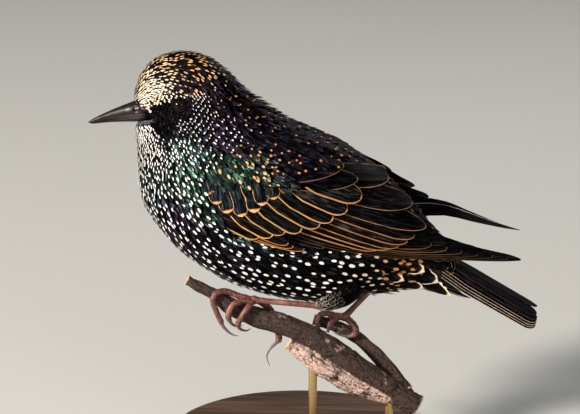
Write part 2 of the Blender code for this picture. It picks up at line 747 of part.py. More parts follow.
def wing_room(side):
    """What is cut from the body to seat a folded wing: all outside the wing's inner face."""
    outline = []
    for share in SHOULDER_STATIONS:
        middle, across = shoulder_row(share, ROOM_MARGIN)
        outline.append((middle - Vector((ROOM_MARGIN * (1 - share), 0)), across))
    for low, high in ROOM_REAR:
        outline.append(((Vector(low) + Vector(high)) / 2, (Vector(high) - Vector(low)) / 2))
    rows = []
    for middle, across in outline:
        deeper = ROOM_DEEPER * (0.4 + 0.6 * ease((middle.x - SHOULDER_REAR[0]) / 20 + 1))
        inner = wing_inner(middle.x) + GAP + deeper
        rows.append((middle, across, -ROOM_OUTSIDE, inner + ROOM_OUTSIDE))
    return wing_slab("room", rows, side, 6)


def tail_point(u, v, depth):
    """The point of the tail's upper face u along it and v across it, at that depth below."""
    root, tip = Vector((TAIL_ROOT[0], 0, TAIL_ROOT[1])), Vector((TAIL_TIP[0], 0, TAIL_TIP[1]))
    way = (tip - root).normalized()
    up = Vector((-way.z, 0, way.x))
    down = depth + TAIL_ARCH * v * v - v * math.sin(TAIL_ROLL)
    point = root + way * u - up * down
    return (point.x, v * math.cos(TAIL_ROLL), point.z)


def make_tail():
    length = (Vector(TAIL_TIP) - Vector(TAIL_ROOT)).length
    pieces = [tail_coverts()]
    for pair in range(TAIL_PAIRS):
        spread = (pair + 0.5) / TAIL_PAIRS
        for side in SIDE_NAMES:
            root = Vector((6.0, side * spread * 4.5))
            reach = length - TAIL_NOTCH * (1 - spread) ** 2 - side * TAIL_SKEW * spread
            tip = Vector((reach, side * spread * (TAIL_HALF_WIDTH - TAIL_VANE + 1.2)))
            depth = VANE_STEP * pair + (0.1 if side == LEFT else 0.0)
            rows = vane_rows(root, tip, TAIL_VANE, TAIL_ROUND_FROM, (depth, depth), shares=TAIL_STATIONS)
            pieces.append(slab("rectrix", rows, tail_point))
    return fused("tail", pieces)


def tail_coverts():
    """The fleshy root of the tail with its coverts, which runs on from the end of the torso."""
    last = BODY_RIBS[-1]
    slope = Vector((last[0] - last[2], last[1] - last[3])).normalized()
    shift = (slope.y * GAP, -slope.x * GAP)
    first = (last[0] + shift[0], last[1] + shift[1], last[2] + shift[0], last[3] + shift[1], *last[4:])
    rows = smooth_rows([first, *TAIL_COVERT_RIBS], 2)
    return loft("coverts", [rib_ring(row, RING_POINTS // 2) for row in rows])


def stem_frame(stem, x):
    """The middle of a stem at x, its direction, the directions up and across it, and its radius."""
    rows = PERCH_STEMS[stem]
    y, z, radius = at_x(rows, x)
    ahead = at_x(rows, x + 0.5)
    back = at_x(rows, x - 0.5)
    way = Vector((1.0, ahead[0] - back[0], ahead[1] - back[1])).normalized()
    across = Vector((0, 1, 0))
    across = (across - way * across.dot(way)).normalized()
    up = way.cross(across) * -1
    up *= 1 if up.z > 0 else -1
    return Vector((x, y, z)), way, up, across, radius


def round_stem(stem, x, turn, clear):
    """A point beside a stem: turn is the angle from its top towards +Y in degrees, clear is from its bark."""
    middle, _, up, across, radius = stem_frame(stem, x)
    angle = math.radians(turn)
    return middle + (up * math.cos(angle) + across * math.sin(angle)) * (radius + clear)


def perch_stems(grow=0.0):
    return [limb("stem", smooth_rows(rows, 2), PERCH_SIDES, grow) for rows in PERCH_STEMS.values()]


def pad_centre(side):
    stem, x, turn = FOOTHOLDS[side]
    return round_stem(stem, x, turn, PAD_RADIUS + GAP)


def digit_points(side, rows):
    """The middle line of a toe and its claw, from the pad of the foot round the stem, with its radii."""
    stem, x, turn = FOOTHOLDS[side]
    radius = rows[0][3]
    start = (x, turn, PAD_RADIUS + GAP - radius, radius)
    return [
        (*round_stem(stem, x, turn, gap + radius), radius)
        for x, turn, gap, radius in smooth_rows([start, *rows], 2)
    ]


def shank(side, grow=0.0):
    """The scaly part of the leg, from the heel to just above the foot."""
    heel, pad = Vector(HEELS[side]), pad_centre(side)
    way = (heel - pad).normalized()
    foot_end = pad + way * (ANKLE_LENGTH + GAP)
    rows = [(*heel, HEEL_RADIUS), (*(heel - way * 3), SHANK_RADIUS), (*foot_end, SHANK_RADIUS)]
    return limb("shank", rows, LIMB_SIDES, grow)


def thigh(side, grow=0.0):
    return limb("thigh", smooth_rows(THIGHS[side], 2), 10, grow)


def make_leg(side):
    word = SIDE_NAMES[side]
    fused(f"thigh_{word}", [thigh(side)], [shank(side, GAP)])
    shank(side).name = f"tarsus_{word}"
    pad = pad_centre(side)
    way = (Vector(HEELS[side]) - pad).normalized()
    ankle = limb("ankle", [(*pad, SHANK_RADIUS), (*(pad + way * ANKLE_LENGTH), SHANK_RADIUS)])
    pieces = [ball("pad", pad, (PAD_RADIUS,) * 3, 10, 6), ankle]
    for digit, (toe_rows, rows) in DIGITS[side].items():
        points = digit_points(side, rows)
        toe_end = 2 * toe_rows
        pieces.append(limb("toe", points[: toe_end + 1], TOE_SIDES))
        end, before = Vector(points[toe_end][:3]), Vector(points[toe_end - 1][:3])
        way = (end - before).normalized()
        base = [(*(end + way * reach), points[toe_end + 1][3]) for reach in (GAP, GAP + 0.4)]
        limb(f"claw_{word}_{digit}", base + points[toe_end + 2 :], CLAW_SIDES)
    fused(f"foot_{word}", pieces)


def rod(name, stem, x, grow=0.0, trimmed=True):
    """A short upright rod from its socket in the base to the underside of the perch."""
    middle, _, _, _, _ = stem_frame(stem, x)
    bottom = BASE_HEIGHT - SOCKET_DEPTH + GAP - grow
    height = middle.z - bottom
    bpy.ops.mesh.primitive_cylinder_add(
        vertices=16,
        radius=(ROD_RADIUS + grow) * MM,
        depth=height * MM,
        location=Vector((middle.x, middle.y, bottom + height / 2)) * MM,
    )
    upright = bpy.context.object
    upright.name = name
    place_mesh(upright)
    if trimmed:
        combine(upright, perch_stems(GAP), "DIFFERENCE")
    return upright


def place_mesh(thing):
    """Moves an object's place into its mesh."""
    bpy.context.view_layer.update()
    thing.data.transform(thing.matrix_world)
    thing.matrix_world = Matrix.Identity(4)


def make_stand():
    bpy.ops.mesh.primitive_cylinder_add(
        vertices=48,
        radius=BASE_RADIUS * MM,
        depth=BASE_HEIGHT * MM,
        location=(0, 0, BASE_HEIGHT / 2 * MM),
    )
    base = bpy.context.object
    base.name = "stand_base"
    place_mesh(base)
    bevel = base.modifiers.new("edge", "BEVEL")
    bevel.width = BASE_EDGE * MM
    bevel.segments = 1
    base.data = evaluated_mesh(base)
    base.modifiers.clear()
    sockets = [rod("socket", stem, x, GAP, False) for stem, x in RODS.values()]
    combine(base, sockets, "DIFFERENCE")
    for word, (stem, x) in RODS.items():
        rod(f"stand_rod_{word}", stem, x)


def copy_of(thing, name):
    made = bpy.data.objects.new(name, thing.data.copy())
    bpy.context.scene.collection.objects.link(made)
    return made


def finish(thing, home):
    """Gives a node its own material and smooth shading, and puts it in the object's collection."""
    look = next(look for start, look in NODE_LOOKS.items() if thing.name.startswith(start))
    colour, roughness, metallic = LOOKS[look]
    material = bpy.data.materials.new(thing.name)
    material.use_nodes = True
    shader = material.node_tree.nodes["Principled BSDF"]
    shader.inputs["Base Color"].default_value = (*colour, 1.0)
    shader.inputs["Roughness"].default_value = roughness
    shader.inputs["Metallic"].default_value = metallic
    thing.data.materials.clear()
    thing.data.materials.append(material)
    thing.data.shade_smooth()
    thing.data.set_sharp_from_angle(angle=SHARP_ANGLE)
    for old_home in list(thing.users_collection):
        old_home.objects.unlink(thing)
    home.objects.link(thing)


def main():
    for thing in list(bpy.data.objects):
        bpy.data.objects.remove(thing)
    body = whole_body()
    make_head(body)
    neck = keep_side(keep_side(copy_of(body, "neck"), HEAD_CUT, False), NECK_CUT, True)
    torso = keep_side(copy_of(body, "torso"), NECK_CUT, False)
    bpy.data.objects.remove(body)
    combine(neck, [wing_room(side) for side in SIDE_NAMES], "DIFFERENCE")
    seats = [room for side in SIDE_NAMES for room in (wing_room(side), thigh(side, GAP), shank(side, GAP))]
    combine(torso, seats, "DIFFERENCE")
    make_bill()
    for side in SIDE_NAMES:
        make_wing(side)
        make_leg(side)
    make_tail()
    fused("perch", perch_stems())
    make_stand()
    home = bpy.data.collections.new("starling")
    bpy.context.scene.collection.children.link(home)
    for thing in list(bpy.data.objects):
        finish(thing, home)


main()
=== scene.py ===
# %% [markdown]
# A starling on a cut branch
#
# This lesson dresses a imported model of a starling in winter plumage: feathers laid row by row over a
# skin, a horny bill, scaly feet, a piece of branch and a plain stand. The solids that the frame brings are
# the fixed measure. Everything here is made in millimetres and turned into metres where a mesh is made.

# %% Load the frame
import json
import math

import bpy
import numpy as np
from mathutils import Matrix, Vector, noise

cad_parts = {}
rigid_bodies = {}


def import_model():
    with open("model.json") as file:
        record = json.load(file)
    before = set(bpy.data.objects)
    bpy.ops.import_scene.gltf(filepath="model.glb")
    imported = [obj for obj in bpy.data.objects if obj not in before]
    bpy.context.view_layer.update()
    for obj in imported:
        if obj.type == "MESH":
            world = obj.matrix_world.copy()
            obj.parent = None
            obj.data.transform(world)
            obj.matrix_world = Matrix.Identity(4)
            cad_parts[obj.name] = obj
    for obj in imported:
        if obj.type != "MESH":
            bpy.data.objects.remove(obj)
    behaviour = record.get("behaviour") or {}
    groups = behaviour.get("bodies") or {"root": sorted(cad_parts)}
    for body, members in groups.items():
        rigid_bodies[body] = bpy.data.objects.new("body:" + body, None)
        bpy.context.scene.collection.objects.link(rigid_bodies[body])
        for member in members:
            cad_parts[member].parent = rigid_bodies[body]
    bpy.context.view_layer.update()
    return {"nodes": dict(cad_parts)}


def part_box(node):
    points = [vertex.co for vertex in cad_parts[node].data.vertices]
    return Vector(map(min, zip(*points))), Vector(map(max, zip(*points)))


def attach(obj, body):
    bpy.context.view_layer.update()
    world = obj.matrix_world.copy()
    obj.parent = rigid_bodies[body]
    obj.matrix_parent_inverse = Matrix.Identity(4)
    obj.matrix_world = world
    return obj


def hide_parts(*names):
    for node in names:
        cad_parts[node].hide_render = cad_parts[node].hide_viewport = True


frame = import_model()
MM = 0.001
LEFT, RIGHT = -1, 1
SIDE_NAMES = {LEFT: "left", RIGHT: "right"}
chance = np.random.default_rng(7)
print("nodes in the frame:", len(frame["nodes"]))

# %% [markdown]
# A photograph's view can be worked out from the thing itself: how far it is turned, how high the eye stands
# and how many millimetres one pixel covers. A long lens far away keeps the bird's proportions, as it does
# for someone who photographs birds, so the lens follows from the distance.

# %% Camera
PHOTO_WIDTH = 580
MM_PER_PIXEL = 0.42
AZIMUTH, ELEVATION = math.radians(4), math.radians(15)
DISTANCE = 1500.0
SENSOR = 36.0
VIEW_START = (0.0, 0.0, 17.8)
VIEW_RIGHT, VIEW_UP, VIEW_BACK = -4.2, 86.94, 22.6


def aim_camera():
    back = Vector((
        math.sin(AZIMUTH) * math.cos(ELEVATION),
        -math.cos(AZIMUTH) * math.cos(ELEVATION),
        math.sin(ELEVATION),
    ))
    right = Vector((math.cos(AZIMUTH), math.sin(AZIMUTH), 0.0))
    up = back.cross(right)
    centre = Vector(VIEW_START) + right * VIEW_RIGHT + up * VIEW_UP + back * VIEW_BACK
    camera = bpy.data.objects.new("camera", bpy.data.cameras.new("camera"))
    bpy.context.scene.collection.objects.link(camera)
    camera.location = (centre + back * DISTANCE) * MM
    camera.rotation_euler = back.to_track_quat("Z", "Y").to_euler()
    camera.data.sensor_width = SENSOR
    camera.data.lens = SENSOR * DISTANCE / (PHOTO_WIDTH * MM_PER_PIXEL)
    camera.data.clip_end = 20.0
    bpy.context.scene.camera = camera
    return camera


camera = aim_camera()
print("lens:", round(camera.data.lens, 1), "mm")

# %% [markdown]
# The studio is a pale floor and three large soft lamps. Black glossy feathers show mostly what they
# reflect, so the lamps are big: one high in front of the bird, which also lights the photograph, a weaker
# one behind the viewer, and a long one behind the bird that draws its outline.


# %% Floor and lamps
def soft_lamp(name, place, target, size, watts, colour=(1.0, 1.0, 1.0)):
    data = bpy.data.lights.new(name, "AREA")
    data.shape = "DISK"
    data.size = size * MM
    data.energy = watts
    data.color = colour
    lamp = bpy.data.objects.new(name, data)
    lamp.location = Vector(place) * MM
    lamp.rotation_euler = (Vector(place) - Vector(target)).to_track_quat("Z", "Y").to_euler()
    bpy.context.scene.collection.objects.link(lamp)
    return lamp


def plain_material(name, colour, roughness, more=None):
    """A material of one colour; more holds other sockets of its shader and their values."""
    material = bpy.data.materials.new(name)
    material.use_nodes = True
    sockets = material.node_tree.nodes["Principled BSDF"].inputs
    sockets["Base Color"].default_value = (*colour, 1.0)
    sockets["Roughness"].default_value = roughness
    for title, value in (more or {}).items():
        sockets[title].default_value = value
    return material


BIRD_MIDDLE = (0.0, 0.0, 110.0)
FLOOR_SIZE = 12.0
bpy.ops.mesh.primitive_grid_add(x_subdivisions=8, y_subdivisions=8, size=FLOOR_SIZE, location=(0, 0, 0))
floor = bpy.context.object
floor.name = "floor"
floor.data.materials.append(plain_material("pale_floor", (0.55, 0.54, 0.51), 0.8))
soft_lamp("key", (-1500, -1180, 1000), BIRD_MIDDLE, 380, 88, (1.0, 0.95, 0.88))
soft_lamp("fill", (520, -900, 420), BIRD_MIDDLE, 700, 3, (0.9, 0.95, 1.0))
soft_lamp("outline", (300, 700, 900), BIRD_MIDDLE, 500, 3)
world = bpy.data.worlds.new("studio")
bpy.context.scene.world = world
world.use_nodes = True
sky = world.node_tree.nodes["Background"].inputs
sky["Color"].default_value = (0.85, 0.88, 0.92, 1.0)
sky["Strength"].default_value = 0.17
bpy.context.scene.view_settings.view_transform = "Standard"

# %% [markdown]
# The body's form is a row of egg-shaped ribs, each in the plane through its back and its belly, with a
# smooth curve through their numbers. A place on the body is then two numbers: t counts along the ribs from
# the bill to the tail, and turn goes round from the back over the right side. Feathers grow along t, so the
# ribs lie square to the way the feathers lie.

# %% The body's ribs
# Back x, z, belly x, z, half width, how much wider below than above, and the powers that square the rib's
# lower half and its top.
BODY_RIBS = np.array([
    (-69.8, 152.6, -69, 143.8, 3.3, 0, 0.9, 0.8),
    (-68.6, 159.8, -68.8, 138.6, 4.4, 0, 0.85, 0.7),
    (-65.2, 166.8, -68.6, 133.6, 5.6, 0.04, 0.84, 0.62),
    (-58.2, 172.2, -68.4, 128.8, 7.4, 0.05, 0.82, 0.56),
    (-48.4, 174, -68.2, 123.6, 9.6, 0.05, 0.82, 0.53),
    (-38.6, 171.8, -68, 117.4, 12.1, 0.1, 0.82, 0.55),
    (-30, 165.4, -66.4, 110.6, 15.6, 0.2, 0.84, 0.64),
    (-22, 157.4, -63, 103.4, 20.2, 0.25, 0.9, 0.8),
    (-4, 146.2, -48.8, 87, 26.2, 0.12, 0.94, 0.92),
    (20, 135, -24.8, 73.2, 28.2, 0, 0.95, 0.95),
    (39.6, 119.2, 6, 67.2, 24, 0, 0.95, 0.95),
    (55.2, 102, 30, 71, 15.8, 0, 0.95, 0.95),
    (64.6, 90.6, 50, 73.4, 9.4, 0, 0.95, 0.95),
    (67.6, 84, 60.4, 72.4, 8, 0, 0.95, 0.95),
    (72.2, 79.6, 68.6, 70.2, 5.4, 0, 0.95, 0.95),
    (74.8, 75.6, 73.6, 69.4, 2.4, 0, 0.95, 0.95),
])
LAST_RIB = len(BODY_RIBS) - 1


def ease(value):
    value = np.clip(value, 0.0, 1.0)
    return value * value * (3 - 2 * value)


def on_rows(rows, t):
    """The rows at t, counted in rows from 0, on a smooth curve through all of them."""
    rows = np.asarray(rows, float)
    t = np.clip(t, 0, len(rows) - 1.000001)
    i = t.astype(int)
    f = (t - i)[..., None]
    a, b, c, d = (rows[np.clip(i + k, 0, len(rows) - 1)] for k in (-1, 0, 1, 2))
    return 0.5 * (2 * b + (c - a) * f + (2 * a - 5 * b + 4 * c - d) * f**2 + (3 * b - a - 3 * c + d) * f**3)


def rib_point(t, turn):
    rib = on_rows(BODY_RIBS, t)
    up, aside = np.cos(turn), np.sin(turn)
    share = (1 + up) / 2
    power = rib[..., 6] + (rib[..., 7] - rib[..., 6]) * ease(up)
    width = rib[..., 4] * np.sign(aside) * np.abs(aside) ** power * (1 - rib[..., 5] * up)
    x = rib[..., 2] + (rib[..., 0] - rib[..., 2]) * share
    z = rib[..., 3] + (rib[..., 1] - rib[..., 3]) * share
    return np.stack([x, width, z], -1)


def body_point(t, turn):
    """The body's surface, which runs straight on past its first and its last rib."""
    inside = np.clip(t, 0.02, LAST_RIB - 0.02)
    slope = (rib_point(inside + 0.02, turn) - rib_point(inside - 0.02, turn)) / 0.04
    return rib_point(inside, turn) + slope * (t - inside)[..., None]


def length(vectors):
    return np.linalg.norm(vectors, axis=-1)


def unit(vectors):
    return vectors / np.maximum(length(vectors), 1e-9)[..., None]


def summed(steps):
    """How far each place has come, from the steps between the places."""
    return np.concatenate([[0], np.cumsum(steps)])


back_line = body_point(np.linspace(0, LAST_RIB, 200), np.zeros(200))
print("length along the back:", round(float(length(np.diff(back_line, axis=0)).sum())), "mm")

# %% [markdown]
# A folded wing lies on the body like a shell. Its outer face is described by its height and width at each x,
# as seen from the side, so that a wing feather can be drawn flat, as x and z, and then be set on the shell
# at its own depth. The same shell tells where the body has to draw in to make room for the wing.

# %% The folded wing's shell
# x, middle height, half height and half the distance across both wings.
WING_SHAPE = np.array([
    (-44, 112, 36, 24),
    (-20, 110, 39, 29.5),
    (0, 107, 40, 32),
    (20, 103.5, 34, 31.5),
    (40, 99.5, 27.8, 27.5),
    (50, 97, 21.8, 24.5),
    (60, 94.8, 18.5, 21),
    (80, 90.5, 14.5, 15),
    (97, 88.5, 12, 11.5),
])
WING_FRONT_X, WING_FULL_X = -43.0, -12.0
WING_FRONT_DEPTH, WING_DEPTH = 1.6, 7.6
RAISE, RAISE_FROM_X, RAISE_OVER = 6.3, 40.0, 26.0
# The outline that a folded wing covers, as x and z.
WING_OUTLINE = [
    (-42, 112), (-41, 124), (-34, 134), (-22, 139), (-5, 138), (12, 134.5), (38, 124), (50, 114),
    (62, 102), (94, 88), (60, 91), (30, 94), (0, 98), (-20, 101), (-35, 104),
]


def wing_y(x, z):
    t = np.interp(x, WING_SHAPE[:, 0], np.arange(len(WING_SHAPE)))
    shape = on_rows(WING_SHAPE, t)
    up = np.clip(np.abs(z - shape[..., 1]) / shape[..., 2], 0, 0.97)
    return shape[..., 3] * np.sqrt(1 - up * up)


def wing_point(x, z, depth, side):
    """The place of the folded wing at x and z, at that depth under its outer face."""
    step = 0.5
    slope_x = (wing_y(x + step, z) - wing_y(x - step, z)) / (2 * step)
    slope_z = (wing_y(x, z + step) - wing_y(x, z - step)) / (2 * step)
    normal = unit(np.stack([-slope_x, np.ones_like(slope_x), -slope_z], -1))
    point = np.stack([x, wing_y(x, z), z], -1) - normal * depth[..., None]
    raised = RAISE * ease((x - RAISE_FROM_X) / RAISE_OVER) * (side == RIGHT)
    return point * (1, side, 1) + np.stack([raised * 0, raised * 0, raised], -1)


def inside_outline(x, z, outline):
    """How far inside an outline each place is in millimetres, and negative outside it."""
    corners = np.array(outline, float)
    inside = np.zeros(x.shape, bool)
    nearest = np.full(x.shape, 1e9)
    for (x1, z1), (x2, z2) in zip(corners, np.roll(corners, -1, 0)):
        wide, high = x2 - x1, z2 - z1
        share = np.clip(((x - x1) * wide + (z - z1) * high) / (wide**2 + high**2), 0, 1)
        nearest = np.minimum(nearest, np.hypot(x - x1 - share * wide, z - z1 - share * high))
        crosses = (z1 > z) != (z2 > z)
        inside ^= crosses & (x < wide * (z - z1) / (high or 1e-9) + x1)
    return np.where(inside, nearest, -nearest)


def wing_depth(x):
    """How thick the folded wing is."""
    behind = (x - WING_FRONT_X) / (WING_FULL_X - WING_FRONT_X)
    return WING_FRONT_DEPTH + (WING_DEPTH - WING_FRONT_DEPTH) * ease(behind)


def under_wing(point):
    """Draws the body in where a wing lies on it."""
    x, y, z = point[..., 0], point[..., 1], point[..., 2]
    room = np.maximum(wing_y(x, z) - wing_depth(x) - 0.5, 1.0)
    share = ease((inside_outline(x, z, WING_OUTLINE) + 2.0) / 4.0)
    inner = np.minimum(np.abs(y), room)
    return np.stack([x, np.sign(y) * (np.abs(y) + (inner - np.abs(y)) * share), z], -1)


def over_wing(point):
    """Lifts the edge of the body's coat over the shoulder of the wing."""
    x, y, z = point[..., 0], point[..., 1], point[..., 2]
    share = ease((inside_outline(x, z, WING_OUTLINE) + 3.0) / 3.0)
    outer = np.maximum(np.abs(y), wing_y(x, z) + 0.4)
    return np.stack([x, np.sign(y) * (np.abs(y) + (outer - np.abs(y)) * share), z], -1)


print("wing shell is", round(2 * float(wing_y(np.array(0.0), np.array(107.0)))), "mm across both wings")

# %% [markdown]
# Every feather here is one closed vane: a few rows from root to tip, each with points across its top and one
# below its shaft. Building thousands one by one is slow in Python, so the places of a whole group are worked
# out at once as an array, and one mesh is made from it. Each vane also remembers, in millimetres, how far a
# point is from the shaft, how wide the vane is there and how far the tip is, so that its markings are drawn
# by the material at their real size.


# %% Making vanes
def ring_of(across):
    """Where the points of a vane's ring lie across it, from -1 to 1, and which one is the underside."""
    places = np.array([*across, 0.0])
    under = np.zeros(len(places))
    under[-1] = 1.0
    return places, under


def new_piece(name, points, faces, material, replaced):
    """A smooth mesh piece of the bird from points in millimetres, riding on the frame."""
    mesh = bpy.data.meshes.new(name)
    mesh.from_pydata((np.asarray(points) * MM).tolist(), [], faces)
    mesh.shade_smooth()
    piece = bpy.data.objects.new(name, mesh)
    bpy.context.scene.collection.objects.link(piece)
    piece.data.materials.append(material)
    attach(piece, "root")
    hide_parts(*replaced)
    return piece


def add_attribute(mesh, name, values, kind):
    """Stores one value or one row of values for each point of a mesh."""
    field = {"FLOAT": "value", "FLOAT_VECTOR": "vector", "FLOAT_COLOR": "color"}[kind]
    attribute = mesh.attributes.new(name, kind, "POINT")
    attribute.data.foreach_set(field, np.ascontiguousarray(values, np.float32).ravel())


def add_uv(mesh, name, places):
    corner_points = np.empty(len(mesh.loops), np.int32)
    mesh.loops.foreach_get("vertex_index", corner_points)
    layer = mesh.uv_layers.new(name=name)
    layer.data.foreach_set("uv", np.ascontiguousarray(places[corner_points], np.float32).ravel())


def vane_faces(count, rows, ring, points):
    """The faces of closed vanes, turned to point outwards."""
    number = np.arange(count * rows * ring).reshape(count, rows, ring)
    here, ahead = number[:, :-1], number[:, 1:]
    quads = np.stack([here, np.roll(here, -1, 2), np.roll(ahead, -1, 2), ahead], -1).reshape(-1, 4)
    caps = np.concatenate([number[:, 0, ::-1], number[:, -1]])
    flat = points[0].reshape(-1, 3) - points[0].reshape(-1, 3).mean(0)
    first = quads[: (rows - 1) * ring]
    turned = np.einsum("ij,ij->i", flat[first[:, 0]], np.cross(flat[first[:, 1]], flat[first[:, 2]])).sum()
    if turned < 0:
        quads, caps = quads[:, ::-1], caps[:, ::-1]
    return quads.tolist() + caps.tolist()


def vane_piece(name, points, measures, looks, bake, material, replaced, slot):
    """One piece of many vanes. measures and looks hold what the material draws from; bake is its unwrap."""
    shape = points.shape[:3]
    count, rows, ring = shape
    piece = new_piece(name, points.reshape(-1, 3), vane_faces(*shape, points), material, replaced)
    mesh = piece.data
    across, low, high, from_tip = (np.broadcast_to(value, shape) for value in measures)
    add_attribute(mesh, "across", across, "FLOAT")
    add_attribute(mesh, "edges", np.stack([low, high, from_tip], -1).reshape(-1, 3), "FLOAT_VECTOR")
    for look, values in looks.items():
        spread = np.broadcast_to(values[:, None, None, :], (*shape, values.shape[-1]))
        kind = "FLOAT_COLOR" if values.shape[-1] == 4 else "FLOAT_VECTOR"
        add_attribute(mesh, look, spread.reshape(-1, values.shape[-1]), kind)
    add_uv(mesh, "OFBake", bake.reshape(-1, 2))
    mesh.set_sharp_from_angle(angle=math.radians(55))
    print(name, "has", count, "vanes and", count * ((rows - 1) * ring * 2 + 2 * (ring - 2)), "triangles")
    return piece


# %% [markdown]
# Two effects are shared by all the feathers. The first draws marks: a drop-shaped spot at the tip and a
# fringe along the edges, each at its size in millimetres. The second draws barbs: fine slanting ridges on
# both sides of the shaft, which break up the gloss. Both are node groups, built once and used in each
# feather material.


# %% Node helpers
def new_group(name, inputs, outputs):
    """A shader node group with number inputs (name, value) and number outputs."""
    group = bpy.data.node_groups.new(name, "ShaderNodeTree")
    for title, value in inputs:
        socket = group.interface.new_socket(title, in_out="INPUT", socket_type="NodeSocketFloat")
        socket.default_value = value
    for title in outputs:
        group.interface.new_socket(title, in_out="OUTPUT", socket_type="NodeSocketFloat")
    return group, group.nodes.new("NodeGroupInput"), group.nodes.new("NodeGroupOutput")


def set_sockets(tree, node, values):
    """Links an output to each named socket of a node, or sets the socket to a value."""
    for title, value in values.items():
        if isinstance(value, bpy.types.NodeSocket):
            tree.links.new(value, node.inputs[title])
        else:
            node.inputs[title].default_value = value


def calc(tree, operation, *values):
    node = tree.nodes.new("ShaderNodeMath")
    node.operation = operation
    set_sockets(tree, node, dict(enumerate(values)))
    return node.outputs[0]


def times(tree, first, second):
    return calc(tree, "MULTIPLY", first, second)


def scaled(tree, value, factor, plus):
    return calc(tree, "MULTIPLY_ADD", value, factor, plus)


def fade(tree, value, low, high):
    """0 where value is below low, 1 where it is above high, and smooth between."""
    node = tree.nodes.new("ShaderNodeMapRange")
    node.interpolation_type = "SMOOTHSTEP"
    set_sockets(tree, node, {"Value": value, "From Min": low, "From Max": high})
    return node.outputs[0]


def fade_out(tree, value, low, high):
    """1 where value is below low, 0 where it is above high, and smooth between."""
    return calc(tree, "SUBTRACT", 1.0, fade(tree, value, low, high))


def own_place(tree, stretch=None):
    """Places in a piece's own space, with its axes stretched where a pattern is drawn out along one."""
    place = tree.nodes.new("ShaderNodeTexCoord").outputs["Object"]
    if stretch is None:
        return place
    mapping = tree.nodes.new("ShaderNodeMapping")
    set_sockets(tree, mapping, {"Vector": place, "Scale": stretch})
    return mapping.outputs[0]


def noise_value(tree, vector, scale, detail=2.0, roughness=0.5):
    node = tree.nodes.new("ShaderNodeTexNoise")
    set_sockets(tree, node, {"Vector": vector, "Scale": scale, "Detail": detail, "Roughness": roughness})
    return node.outputs["Fac"]


def mix_colour(tree, share, first, second):
    node = tree.nodes.new("ShaderNodeMix")
    node.data_type = "RGBA"
    set_sockets(tree, node, {"Factor": share, "A": first, "B": second})
    return node.outputs["Result"]


def attribute(tree, name):
    node = tree.nodes.new("ShaderNodeAttribute")
    node.attribute_name = name
    return node


def split(tree, name):
    """The three numbers that the points of a mesh carry under a name."""
    node = tree.nodes.new("ShaderNodeSeparateXYZ")
    tree.links.new(attribute(tree, name).outputs["Vector"], node.inputs[0])
    return node.outputs


def finish(material, values):
    """Links outputs to the named sockets of a material's shader."""
    set_sockets(material.node_tree, material.node_tree.nodes["Principled BSDF"], values)
    return material


def group_values(tree, group, values):
    """A node group's outputs in a material, with its inputs linked or set."""
    node = tree.nodes.new("ShaderNodeGroup")
    node.node_tree = group
    set_sockets(tree, node, values)
    return node.outputs


def relief_normal(tree, height, strength, distance):
    """The normal of relief that is too fine for the mesh."""
    node = tree.nodes.new("ShaderNodeBump")
    set_sockets(tree, node, {"Height": height, "Strength": strength, "Distance": distance})
    return node.outputs["Normal"]


# %% Feather marks
MARK_INPUTS = (
    "Across", "Low Edge", "High Edge", "From Tip", "Spot Length", "Spot Half", "Low Fringe", "High Fringe",
    "Tip Fringe",
)
FRINGE_EDGES = {"Low Fringe": "Low Edge", "High Fringe": "High Edge", "Tip Fringe": "From Tip"}


def marks_group():
    inputs = [(title, 0.0) for title in MARK_INPUTS]
    group, given, result = new_group("feather marks", inputs + [("Softness", 0.15)], ["Spot", "Fringe"])
    put = {socket.name: socket for socket in given.outputs}
    aside = calc(group, "DIVIDE", put["Across"], calc(group, "MAXIMUM", put["Spot Half"], 0.01))
    half_length = calc(group, "MAXIMUM", times(group, put["Spot Length"], 0.5), 0.01)
    ahead = calc(group, "DIVIDE", calc(group, "SUBTRACT", put["From Tip"], half_length), half_length)
    squares = [times(group, value, value) for value in (aside, ahead)]
    far = calc(group, "SQRT", calc(group, "ADD", *squares))
    drawn = calc(group, "GREATER_THAN", put["Spot Half"], 0.02)
    spot = times(group, fade_out(group, far, 0.75, 1.1), drawn)
    most = 0.0
    for width, edge in FRINGE_EDGES.items():
        inner = calc(group, "ADD", put[width], put["Softness"])
        drawn = calc(group, "GREATER_THAN", put[width], 0.02)
        fringe = fade_out(group, put[edge], times(group, put[width], 0.6), inner)
        most = calc(group, "MAXIMUM", most, times(group, fringe, drawn))
    set_sockets(group, result, {"Spot": spot, "Fringe": most})
    return group


# %% Feather barbs
def barbs_group():
    inputs = [("Across", 0.0), ("From Tip", 0.0), ("Pitch", 0.35), ("Slant", 1.2), ("Shaft", 0.12)]
    group, given, result = new_group("feather barbs", inputs, ["Height", "Shaft Mask"])
    put = {socket.name: socket for socket in given.outputs}
    aside = calc(group, "ABSOLUTE", put["Across"])
    slanted = calc(group, "ADD", put["From Tip"], times(group, aside, put["Slant"]))
    ridges = calc(group, "DIVIDE", slanted, put["Pitch"])
    wave = calc(group, "SINE", times(group, ridges, math.tau))
    shaft = fade_out(group, aside, put["Shaft"], times(group, put["Shaft"], 2.0))
    set_sockets(group, result, {"Height": scaled(group, wave, 0.25, 0.5), "Shaft Mask": shaft})
    return group


MARKS, BARBS = marks_group(), barbs_group()
print("node groups:", MARKS.name, "and", BARBS.name)

# %% [markdown]
# A starling's black is not flat black: thin layers in the barbs throw back purple, green or blue. Where a
# feather is glossy its colour is given to the reflection, with a high metallic value, so it shows only where
# a lamp is mirrored and stays dark elsewhere, as the real plumage does. The pale tips have no such layers:
# there the material turns matt and bright. The gloss colour comes with each feather, and its alpha says how
# strong the gloss is.


